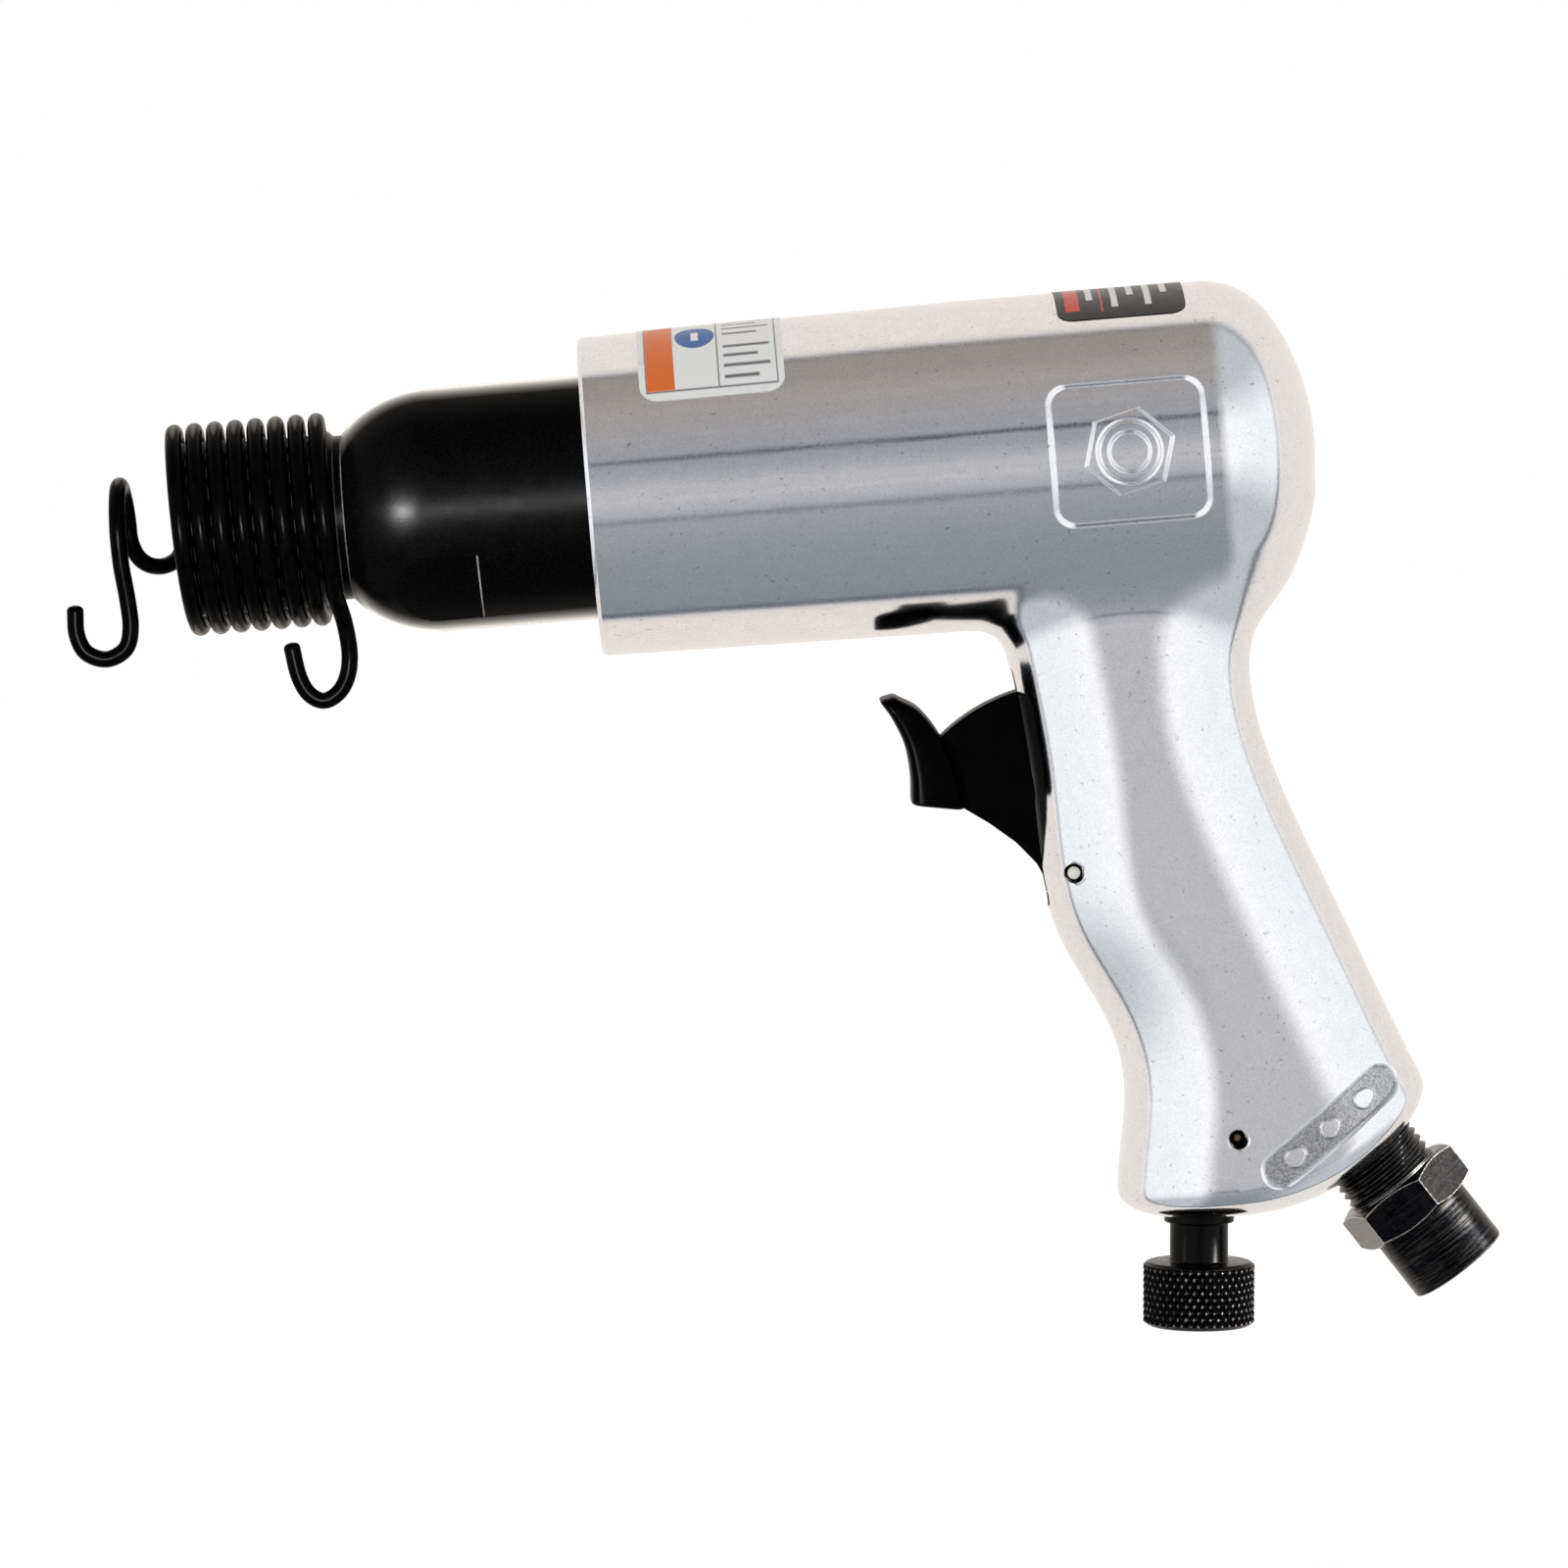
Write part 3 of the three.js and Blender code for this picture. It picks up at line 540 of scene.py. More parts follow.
def pin_hole(spot, radius, flare=0.35):
    """A cross hole with a small flare at each mouth."""
    mouth = skin_side(*spot)
    half = [(24, radius + flare), (mouth + 0.02, radius + flare), (mouth - 0.3, radius)]
    return cross(revolve([(-y, r) for y, r in half] + half[::-1], 48), spot)


def housing_shape():
    points, faces = surface_net(skin_distance, (-3.5, -28.5, -126.5), (131, 28.5, 28.5), 0.9)
    body = raw_object("housing_casting", (pull_to_skin(points), faces))
    refine(body, [(BADGE["x"], BADGE["z"], 14), (OIL_PLATE["x"], OIL_PLATE["z"], 15)])
    reshape(body, pull_to_skin)
    reshape(body, emboss)
    ring = rounded_outline(TRIGGER_SLOT["width"], TRIGGER_SLOT["height"], TRIGGER_SLOT["corner"])
    slot = ring_stack([np.column_stack([np.full(len(ring), x), ring[:, 0], ring[:, 1] + TRIGGER_SLOT["z"]])
                       for x in (TRIGGER_SLOT["front"], TRIGGER_SLOT["rear"])])
    throttle = revolve([(THROTTLE[end], THROTTLE["radius"]) for end in ("front", "rear")], 64)
    bore = REGULATOR["bore"]
    spool = revolve([(-6, bore + 0.75), (-0.1, bore + 0.75), (0.5, bore), (REGULATOR["depth"], bore)], 80)
    well = revolve([(19, 8.9), (22, 8.9), (22.8, 8.4), (35.5, 8.4), (35.5, 6), (45, 6)], 80)
    carve(
        body,
        revolve([(-10, 31), (6.1, 31), (0.35, 25.25), (0, 25.0)], 192),
        revolve([(-2, 22.1), (0, 22.1), (0.6, 21.5)] + CHAMBER[1:-1], 160),
        slot,
        (throttle[0] + (0, 0, THROTTLE["z"]), throttle[1]),
        stand(spool, REGULATOR),
        stand(well, INLET),
        pin_hole(PIVOT, PIN_RADIUS),
        pin_hole(STOP_PIN, STOP_PIN_RADIUS),
    )
    x, y, z = points_of(body).T
    mark(body, "cast", np.where(y < -3, plate_depth(x, y + 0.4, z) / OIL_PLATE["depth"], 0))
    return body


# ---- barrel and retainer ----
def arc(cx, cy, radius, start, end, steps):
    return [(cx + radius * math.cos(math.radians(a)), cy + radius * math.sin(math.radians(a)))
            for a in np.linspace(start, end, steps + 1)]


def barrel_shape():
    nose, nose_radius, ogive, radius = (BARREL[key] for key in ("nose", "nose_radius", "ogive", "radius"))
    bore, shank = BARREL["bore"], BARREL["shank"]
    centre = radius - ogive
    neck = 180 - math.degrees(math.asin((NECK_RADIUS - centre) / ogive))
    rim = [(nose, 6.6), (nose, nose_radius - 0.9), (nose + 0.9, nose_radius), (nose + 1.4, nose_radius)]
    start = soften(rim, 0.25)
    thread_x = np.arange(nose + 1.6, -42, 0.16)
    thread = np.column_stack([thread_x, np.full(len(thread_x), nose_radius)])
    shoulder = arc(BARREL["shoulder"], centre, ogive, neck, 90, 40)
    rear = [(0, radius), (BARREL["rear"] - 1, radius), (BARREL["rear"], radius - 1)]
    profile = np.vstack([start, thread, [(-41, nose_radius), (-40.2, NECK_RADIUS)] + shoulder + rear])
    sides = 192
    turn = (profile[:, 0:1] / COIL["pitch"] - spokes(sides) / (2 * math.pi)) % 1
    groove = NOSE_THREAD["depth"] * np.clip(np.sin(2 * math.pi * turn) * 1.3, 0, 1)
    threaded = ((profile[:, 0] > nose + 1.5) & (profile[:, 0] < NOSE_THREAD["start"]))[:, None]
    body = raw_object("barrel_body", revolve(profile, sides, np.where(threaded, groove, 0)))
    hollow = revolve([(nose - 1, 7.75), (nose, 6.75), (nose + 1, shank), (-33, shank), (-30, bore), (80, bore)])
    ring = rounded_outline(30, 40, 4)
    block = ring_stack([np.column_stack([ring[:, 0] + FLAT["middle"], ring[:, 1], np.full(len(ring), z)])
                        for z in (-FLAT["distance"] - 8, -FLAT["distance"])])
    flats = []
    for side in (FLAT["angle"] - 90, FLAT["angle"] + 90):
        spin = np.array(Matrix.Rotation(math.radians(side), 3, "X"))
        flats.append((block[0] @ spin.T, block[1]))
    return carve(body, hollow, *flats)


def tube(path, radius, sides=18):
    """A round wire along a path, with domed ends."""
    path = np.asarray(path, float)
    tangent = np.gradient(path, axis=0)
    tangent /= np.linalg.norm(tangent, axis=1)[:, None]
    side = np.cross(tangent[0], (0.31, 0.87, 0.39))
    side /= np.linalg.norm(side)
    angle = spokes(sides)
    rings = []
    domes = [(-radius * math.cos(a), radius * math.sin(a)) for a in np.linspace(0.25, math.pi / 2, 4)]
    for i, (p, t) in enumerate(zip(path, tangent)):
        side = side - t * side.dot(t)
        side /= np.linalg.norm(side)
        other = np.cross(t, side)
        circle = np.cos(angle)[:, None] * side + np.sin(angle)[:, None] * other
        if i == 0:
            rings += [p + t * (0.6 * back) + circle * size for back, size in domes[:-1]]
        rings.append(p + circle * radius)
        if i == len(path) - 1:
            rings += [p - t * (0.6 * back) + circle * size for back, size in reversed(domes[:-1])]
    return ring_stack(np.array(rings))


def retainer_shape():
    coil = []
    for angle in np.arange(COIL["start"], COIL["end"] + 1, 7.5):
        a = math.radians(angle)
        x = COIL["rear_top"] - COIL["pitch"] * (angle - 90) / 360
        coil.append((x, -COIL["radius"] * math.cos(a), COIL["radius"] * math.sin(a)))
    rear = smooth_curve([(-49.3, -6, -19.8), (-48.6, -6, -24.4), (-47.2, -6, -27.4), (-44.9, -6, -28.7),
                         (-42.4, -6, -27.5), (-40.8, -6, -24.9), (-40.2, -6, -21.4), (-40.5, -6.6, -17),
                         (-41.1, -8.6, -13.6), coil[0]])[:-1]
    drift = (LOOP["front"] - LOOP["rear"]) / 10
    loop = [(LOOP["rear"] + drift * i, LOOP["radius"] * math.cos(a), LOOP["radius"] * math.sin(a))
            for i, a in enumerate(np.radians(np.linspace(12, 180, 11)))]
    side = [(-67.1, 14.9, -3.8), (-69.1, 12.8, -5.6), (-71.6, 10.6, -5.6), (-73.6, 8.9, -4),
            (-74.6, 8.1, -1.2)]
    hook = [(-75.1, -7.9, -4.5), (-74.6, -7.6, -10), (-74.5, -7.5, -14.6), (-75.6, -7.5, -17.8),
            (-78.7, -7.5, -19.2), (-81.85, -7.5, -17.9), (-83.12, -7.5, -14.9), (-83.05, -7.5, -11)]
    front = smooth_curve([coil[-1]] + side + loop + hook)[1:]
    return tube(np.vstack([rear, coil, front]), WIRE)


# ---- trigger and throttle ----
def throttle_spring():
    """The coil behind the throttle valve, which shortens as the valve moves back on to it; here it is one fixed
    coil that fills the CAD spring's box.
    """
    low, high = ((corner - ORIGIN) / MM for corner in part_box("throttle_spring"))
    radius, turns = SPRING["radius"], SPRING["turns"]
    wire = (high.z - low.z) / 2 - radius
    share = np.linspace(0, 1, round(32 * turns) + 1)
    angle = 2 * math.pi * turns * share
    x = low.x + wire + (high.x - low.x - 2 * wire) * share
    z = (low.z + high.z) / 2 + radius * np.cos(angle)
    path = np.column_stack([x, radius * np.sin(angle), z])
    return raw_object("throttle_spring_wire", tube(path, wire - 0.02, 12))


def trigger_finger():
    """The wide finger piece, as round-cornered sections from its tip down to its heel."""
    front = smooth_curve([(43.55, -36.5), (45.2, -39.3), (46.8, -43.5), (47.35, -48.2), (47.15, -52.6)], 9)
    back = smooth_curve([(46.4, -35.9), (49.6, -38.0), (52.5, -42.2), (54.5, -47.8), (55.7, -54.1)], 9)
    count = len(front)
    angle = spokes(56)
    deep, wide = (np.sign(part) * np.abs(part) ** (2 / 5.5) for part in (np.cos(angle), np.sin(angle)))
    rings = []
    for i, (f, b) in enumerate(zip(front, back)):
        from_tip, from_heel = i / (count - 1), 1 - i / (count - 1)
        half = TRIGGER["finger"] * (0.90 + 0.10 * min(1, from_tip * 6) ** 0.5)
        middle, reach = (f + b) / 2, (f - b) / 2
        flat = middle + deep[:, None] * reach
        rings.append(np.column_stack([flat[:, 0], wide * half, flat[:, 1]]))

    def cap(ring, drift, steps):
        """Shrinks an end section to a rounded end."""
        middle = ring.mean(0)
        return [middle + np.array(drift) * t + (ring - middle) * s for t, s in steps]

    top = cap(rings[0], (-0.35, 0, 0.5), ((1.0, 0.05), (1.0, 0.45), (0.9, 0.75), (0.5, 0.93)))
    foot = cap(rings[-1], (-0.05, 0, -0.5), ((0.6, 0.97), (1.0, 0.88), (1.0, 0.5), (1.0, 0.05)))
    return ring_stack(top + rings + foot)


def trigger_shape():
    x, z = PIVOT
    start, end = (math.degrees(math.acos((at - x) / TRIGGER["fan"])) for at in (52.4, 70.2))
    web = arc(x, z, TRIGGER["fan"], start, end, 18) + [(73.3, -52)] + arc(x, z, TRIGGER["boss"], 20, -150, 16)
    web += [(66.4, -64.2), (63.4, -60.6), (59.4, -57.2), (55, -54.1), (52.4, -48)]
    body = raw_object("trigger_lever", trigger_finger())
    weld(body, slab(soften(web, 0.5, 2, True), TRIGGER["web"], 0.6))
    return carve(body, cross(revolve([(-20, PIN_RADIUS), (20, PIN_RADIUS)], 40), PIVOT))


def cross_pin(name, spot, radius, half_length):
    profile = [(-half_length, 0.05), (-half_length, radius), (half_length, radius), (half_length, 0.05)]
    return raw_object(name, cross(revolve(soften(profile, 0.35), 40), spot))


# ---- regulator with its knurled head ----
def regulator_shape():
    """The knob: a diamond-knurled head on a plain neck and a grooved spool inside the grip."""
    head, low, high, spool, neck = 8.98, -18.05, -7.6, 5.65, 4.7
    starts, depth, per_start, slope = 42, 0.5, 10, math.tan(math.radians(32))
    rise = np.linspace(low + 0.75, high - 0.55, 96)
    under = soften([(low, 0.05), (low, head - 0.95), (low + 0.7, head - 0.05)], 0.5, 5)
    over = soften([(high - 0.5, head - 0.05), (high, head - 0.75), (high, neck), (-1.2, neck), (-1.2, spool),
                   (10.4, spool), (11.3, 3.7), (15.5, 3.7), (16.3, spool), (30, spool), (30, 0.05)], 0.3)
    profile = np.vstack([under, np.column_stack([rise, np.full(len(rise), head)]), over])
    sides = starts * per_start
    climb = profile[:, 0:1] * slope / head
    waves = [np.abs(((spokes(sides) + sign * climb) * starts / (2 * math.pi)) % 1 * 2 - 1)
             for sign in (1, -1)]
    crest = np.minimum(1.3 * np.minimum(*waves), 1)
    knurled = ((profile[:, 0] > low + 0.72) & (profile[:, 0] < high - 0.53))[:, None]
    points, faces = revolve(profile, sides, np.where(knurled, depth * (1 - crest), 0))
    obj = raw_object("regulator_knob", (upright(points), faces))
    x, y, z = points_of(obj).T
    peak = (np.hypot(x, y) - (head - depth)) / depth
    mark(obj, "crest", np.where((z > low + 0.4) & (z < high), peak, 0))
    reshape(obj, lambda points: leaning(REGULATOR, points))
    return obj


# ---- air inlet ----
def inlet_shape():
    end, thread, bore = INLET["end"], INLET["thread"], INLET["bore"]
    collar = soften([(0, 6.6), (0, end), (HEX["near"] + 0.6, end), (HEX["near"] + 0.6, thread)], 0.35)
    rise = np.arange(HEX["far"] - 1.5, 32, 0.12)
    threads = np.column_stack([rise, np.full(len(rise), thread)])
    profile = np.vstack([collar[:-1], threads, [(32.9, thread - 1)]])
    sides = 120
    turn = (profile[:, 0:1] / INLET["pitch"] - spokes(sides) / (2 * math.pi)) % 1
    threaded = ((profile[:, 0] > HEX["far"] + 0.5) & (profile[:, 0] < 31.9))[:, None]
    cut = np.where(threaded, 0.75 * np.abs(turn * 2 - 1), 0)
    body = raw_object("inlet_bushing_body", revolve(profile, sides, cut))
    prism = raw_object("inlet_hex", revolve([(HEX["near"], HEX_CORNER), (HEX["far"], HEX_CORNER)], 6))
    prism.data.transform(Matrix.Rotation(math.radians(HEX["turn"] - 90), 4, "X"))
    chamfer = [(HEX["near"], HEX["chamfer"]), (HEX["near"] + 0.85, HEX_CORNER + 0.1),
               (HEX["far"] - 0.85, HEX_CORNER + 0.1), (HEX["far"], HEX["chamfer"])]
    combine(prism, "INTERSECT", [revolve(chamfer, 120)])
    airway = [(-1, bore + 1.9), (0, bore + 0.9), (0.8, bore + 0.35), (24, bore - 1.6), (25, bore - 0.4),
              (40, bore - 0.4)]
    carve(weld(body, prism), revolve(airway))
    reshape(body, lambda points: leaning(INLET, upright(points)))
    return body


# ---- labels ----
def label_shape(name, start, end, spread, corner):
    """A film over the top of the shell, from start to end and spread degrees round it, with round corners.

    Its UV map runs from 0 to 1 along x and up the near side.
    """
    middle, width = (start + end) / 2, end - start
    mean = shell_radius(middle)
    height = math.radians(spread) * mean
    outline = rounded_outline(width, height, corner, 11)
    extra = []
    for a, b in zip(outline, np.roll(outline, -1, axis=0)):
        pieces = max(1, int(np.linalg.norm(b - a) / 1.5))
        extra += [a + (b - a) * k / pieces for k in range(pieces)]
    outline = np.array(extra)

    def ring(scale, lift):
        flat = outline * scale
        x, turn = middle + flat[:, 0], flat[:, 1] / mean
        r = shell_radius(x) + lift
        return np.column_stack([x, r * np.sin(turn), r * np.cos(turn)])

    scales = np.linspace(0.04, 1, 26)
    rings = [ring(s, 0.16) for s in scales] + [ring(1.0, 0.04)] + [ring(s, 0.03) for s in scales[::-1]]
    obj = raw_object(name, ring_stack(rings))
    layer = obj.data.uv_layers.new(name="print")
    for loop in obj.data.loops:
        x, y, z = obj.data.vertices[loop.vertex_index].co
        layer.data[loop.index].uv = ((x - start) / width, 0.5 - math.atan2(y, z) * mean / height)
    return obj


# ---- materials ----
def srgb(red, green, blue):
    """A display colour, 0 to 255, as linear light."""
    values = [c / 255 for c in (red, green, blue)]
    return (*[v / 12.92 if v < 0.04045 else ((v + 0.055) / 1.055) ** 2.4 for v in values], 1.0)


class Nodes:
    """A node tree, built up call by call from sockets, numbers and linear colours."""

    def __init__(self, tree):
        self.tree = tree

    def join(self, value, socket):
        if isinstance(value, bpy.types.NodeSocket):
            self.tree.links.new(value, socket)
        else:
            socket.default_value = value

    def put(self, node, **inputs):
        made = self.tree.nodes.new(node)
        for key, value in inputs.items():
            self.join(value, made.inputs[key.replace("_", " ")])
        return made

    def level(self, value, low, high, out_low=0.0, out_high=1.0):
        """Maps low..high to out_low..out_high, and holds the ends."""
        return self.put("ShaderNodeMapRange", Value=value, From_Min=low, From_Max=high,
                        To_Min=out_low, To_Max=out_high).outputs["Result"]

    def spread(self, noise, low, high):
        """Maps the usual range of a noise to low..high."""
        return self.level(noise, 0.3, 0.7, low, high)

    def maths(self, operation, a, b=0.0, node="ShaderNodeMath"):
        made = self.put(node)
        made.operation = operation
        self.join(a, made.inputs[0])
        self.join(b, made.inputs[1])
        return made.outputs["Value" if operation == "DOT_PRODUCT" else 0]

    def times(self, a, b):
        return self.maths("MULTIPLY", a, b)

    def plus(self, a, b):
        return self.maths("ADD", a, b)

    def apart(self, a, b):
        """How far a is from b."""
        return self.maths("ABSOLUTE", self.maths("SUBTRACT", a, b))

    def squares(self, a, b):
        """The sum of the squares of two lengths."""
        return self.plus(self.maths("POWER", a, 2.0), self.maths("POWER", b, 2.0))

    def blend(self, factor, first, second):
        """Mixes two colours, each a socket or a colour."""
        made = self.put("ShaderNodeMix")
        made.data_type = "RGBA"
        for k, value in ((0, factor), (6, first), (7, second)):
            self.join(value, made.inputs[k])
        return made.outputs[2]


class Paint(Nodes):
    """A procedural material in object coordinates (metres)."""

    def __init__(self, name):
        self.material = bpy.data.materials.new(name)
        self.material.use_nodes = True
        super().__init__(self.material.node_tree)
        self.shader = self.tree.nodes["Principled BSDF"]
        self.place = self.put("ShaderNodeTexCoord").outputs["Object"]
        self.normal = None

    def noise(self, scale, detail=3.0, roughness=0.55, stretch=(1, 1, 1), distortion=0.0, at=None):
        """Noise whose grains are about 1/scale metres across."""
        spot = self.put("ShaderNodeMapping", Vector=at or self.place, Scale=stretch).outputs[0]
        return self.put("ShaderNodeTexNoise", Vector=spot, Scale=scale, Detail=detail, Roughness=roughness,
                        Distortion=distortion).outputs["Fac"]

    def marked(self, name):
        """A number kept at each point by mark()."""
        made = self.put("ShaderNodeAttribute")
        made.attribute_name = name
        return made.outputs["Fac"]

    def edges(self, radius, strength=1.0):
        """1 along worn convex edges, 0 elsewhere, from a bevelled normal."""
        bevel = self.put("ShaderNodeBevel", Radius=radius * MM)
        bevel.samples = 6
        normal = self.put("ShaderNodeNewGeometry").outputs["Normal"]
        dot = self.maths("DOT_PRODUCT", bevel.outputs[0], normal, "ShaderNodeVectorMath")
        return self.level(dot, 0.995, 0.9, 0.0, strength)

    def feed(self, name, value):
        self.join(value, self.shader.inputs[name])

    def colour(self, factor, first, second):
        self.feed("Base Color", self.blend(factor, first, second))

    def rough(self, noise, low, high):
        self.feed("Roughness", self.spread(noise, low, high))

    def gloss(self, level):
        self.feed("Specular IOR Level", level)

    def dusty_rim(self, weight, low, high):
        """Sheen that only shows where a surface is seen at a glancing angle."""
        facing = self.put("ShaderNodeLayerWeight").outputs["Facing"]
        self.feed("Sheen Weight", self.level(facing, low, high, 0.0, weight))
        self.feed("Sheen Roughness", 0.5)
        self.feed("Sheen Tint", (1.0, 0.95, 0.88, 1))

    def relief(self, value, depth, strength=1.0):
        """Adds a bump of the given depth in millimetres."""
        bump = self.put("ShaderNodeBump", Height=value, Strength=strength, Distance=depth * MM)
        if self.normal:
            self.join(self.normal, bump.inputs["Normal"])
        self.normal = bump.outputs[0]
        self.feed("Normal", self.normal)


def polished_aluminium():
    """Buffed casting: a fine grain, faint waviness, dark pores, and a rough cast floor in the oil plate."""
    paint = Paint("polished_aluminium")
    unpolished = paint.level(paint.marked("cast"), 0.45, 0.95)
    haze = paint.noise(60, 4)
    grain = paint.noise(2900, 3, 0.75)
    blotch = paint.noise(420, 3, 0.6)
    wave = paint.noise(75, 2, 0.4)
    pores = paint.level(paint.noise(1300, 2, 0.5), 0.66, 0.76)
    tint = paint.blend(haze, srgb(240, 240, 242), srgb(247, 246, 245))
    grained = paint.blend(paint.level(grain, 0.38, 0.62), srgb(226, 226, 228), tint)
    grained = paint.blend(paint.level(blotch, 0.35, 0.65, 0.25, 0), grained, srgb(216, 217, 220))
    pitted = paint.blend(paint.level(pores, 0, 1, 0, 0.5), grained, srgb(120, 118, 116))
    rough_floor = paint.blend(paint.level(grain, 0.4, 0.6), srgb(150, 150, 152), srgb(200, 200, 201))
    paint.colour(unpolished, pitted, rough_floor)
    paint.feed("Metallic", 1.0)
    rough = paint.plus(paint.spread(haze, 0.07, 0.11), paint.spread(grain, 0.0, 0.05))
    paint.feed("Roughness", paint.plus(rough, paint.level(unpolished, 0, 1, 0, 0.16)))
    paint.relief(wave, 0.10, 0.45)
    paint.relief(grain, 0.005, 0.5)
    paint.relief(paint.times(unpolished, paint.noise(1700, 3, 0.7)), 0.06, 0.7)
    return paint.material


def black_steel():
    """Black-oxide steel: a fine turned grain round the barrel, lighter where edges are rubbed."""
    paint = Paint("black_steel")
    mottle = paint.noise(220, 5, 0.6)
    turned = paint.noise(2200, 3, 0.6, stretch=(1, 0.15, 0.15))
    speck = paint.noise(3000, 2, 0.5)
    rubbed = paint.times(paint.edges(0.35), paint.level(mottle, 0.35, 0.6, 0.2, 0.8))
    dark = paint.blend(paint.level(speck, 0.35, 0.65), srgb(0, 0, 0), srgb(1, 1, 1))
    paint.colour(rubbed, dark, srgb(96, 96, 98))
    paint.gloss(0.02)
    paint.dusty_rim(0.16, 0.56, 0.86)
    paint.rough(mottle, 0.24, 0.34)
    paint.relief(turned, 0.008, 0.5)
    paint.relief(speck, 0.014, 0.7)
    return paint.material


def worn_steel():
    """Dark dull steel with fine speckle, streaks round its axis, bright rubbed edges, painted light on two
    faces of the hex, and a black thread.
    """
    paint = Paint("worn_steel")
    centre = tuple(to_frame((INLET["x"], 0, INLET["z"])))
    place = paint.maths("SUBTRACT", paint.place, centre, "ShaderNodeVectorMath")
    turn = (0, -math.radians(INLET["lean"]), 0)
    place = paint.put("ShaderNodeMapping", Vector=place, Rotation=turn).outputs[0]
    across, _, along = paint.put("ShaderNodeSeparateXYZ", Vector=place).outputs
    streaks = paint.noise(2600, 4, 0.65, (0.05, 0.05, 1), at=place)
    speckle = paint.noise(1800, 4, 0.7)
    stain = paint.noise(170, 4, 0.6, distortion=0.8)
    dark = paint.blend(paint.level(stain, 0.35, 0.65), srgb(3, 4, 6), srgb(20, 20, 22))
    worn = paint.blend(paint.level(speckle, 0.52, 0.74, 0, 0.28), dark, srgb(64, 64, 65))
    on_collar = paint.level(along, (HEX["near"] - 0.5) * MM, (HEX["near"] + 0.2) * MM, 1.0, 0.15)
    # painted light: the hex face beyond one corner ridge is painted pale grey and the face beyond the other
    # ridge a little, as light falls on them; the collar is left out
    ridges = [HEX_CORNER * math.sin(math.radians(HEX["turn"] - turned)) for turned in (60, 0)]
    left, right = (paint.level(across, (ridge - 0.15) * MM, (ridge + 0.15) * MM, *face_light)
                   for ridge, face_light in zip(ridges, ((0.9, 0.0), (0.0, 0.13))))
    flats = paint.plus(left, right)
    flats = paint.times(flats, paint.level(on_collar, 0.15, 1.0, 1.0, 0.0))
    flats = paint.times(flats, paint.level(speckle, 0.3, 0.6, 0.8, 1.0))
    worn = paint.blend(flats, worn, srgb(116, 112, 109))
    lined = paint.times(paint.level(streaks, 0.48, 0.72, 0, 0.22), on_collar)
    worn = paint.blend(lined, worn, srgb(140, 137, 131))
    rubbed = paint.times(paint.edges(0.35), paint.level(speckle, 0.3, 0.55, 0.4, 1.0))
    worn = paint.blend(rubbed, worn, srgb(220, 217, 212))
    on_thread = paint.level(along, (HEX["far"] + 0.1) * MM, (HEX["far"] + 0.5) * MM)
    paint.colour(on_thread, worn, paint.blend(rubbed, srgb(5, 5, 6), srgb(64, 63, 62)))
    paint.feed("Metallic", paint.level(on_thread, 0, 1, 1.0, 0.4))
    paint.feed("Roughness", paint.plus(paint.spread(speckle, 0.20, 0.30), paint.spread(streaks, -0.05, 0.06)))
    paint.relief(streaks, 0.005, 0.5)
    paint.relief(speckle, 0.010, 0.5)
    return paint.material


def spring_wire():
    """Black phosphated wire with a satin shine, and a pale painted sheen where it faces up or down."""
    paint = Paint("spring_wire")
    mottle = paint.noise(500, 4, 0.6)
    speck = paint.noise(2600, 2, 0.5)
    normal = paint.put("ShaderNodeNewGeometry").outputs["Normal"]
    up = paint.put("ShaderNodeSeparateXYZ", Vector=normal).outputs[2]
    # painted sheen: the wire's colour turns pale grey where its surface faces straight up or straight down
    ends = paint.level(paint.maths("ABSOLUTE", up), 0.86, 0.99, 0.0, 0.8)
    black = paint.blend(paint.level(mottle, 0.35, 0.65), srgb(0, 0, 0), srgb(2, 2, 2))
    paint.colour(ends, black, srgb(112, 106, 100))
    paint.gloss(0.02)
    paint.rough(mottle, 0.18, 0.28)
    paint.relief(speck, 0.006, 0.5)
    return paint.material


def black_composite():
    """Moulded black trigger: fine texture, a faint sheen on its rubbed edges."""
    paint = Paint("black_composite")
    texture = paint.noise(3200, 3, 0.6)
    mottle = paint.noise(260, 4, 0.6)
    rubbed = paint.edges(0.4, 0.12)
    dark = paint.blend(mottle, srgb(0, 0, 0), srgb(1, 1, 1))
    paint.colour(rubbed, dark, srgb(22, 22, 24))
    paint.rough(mottle, 0.24, 0.34)
    paint.gloss(0.012)
    paint.relief(texture, 0.008, 0.6)
    return paint.material


def knob_steel():
    """Black knurled knob, its crests rubbed bright."""
    paint = Paint("black_steel_knob")
    mottle = paint.noise(900, 4, 0.65)
    worn = paint.level(mottle, 0.42, 0.64, 0.10, 0.8)
    rubbed = paint.times(paint.level(paint.marked("crest"), 0.78, 1.0), worn)
    dark = paint.blend(mottle, srgb(0, 0, 0), srgb(3, 3, 4))
    paint.colour(rubbed, dark, srgb(146, 142, 136))
    paint.feed("Metallic", paint.level(rubbed, 0, 1, 0.0, 0.9))
    paint.gloss(0.07)
    paint.rough(mottle, 0.16, 0.30)
    paint.relief(mottle, 0.015, 0.5)
    return paint.material


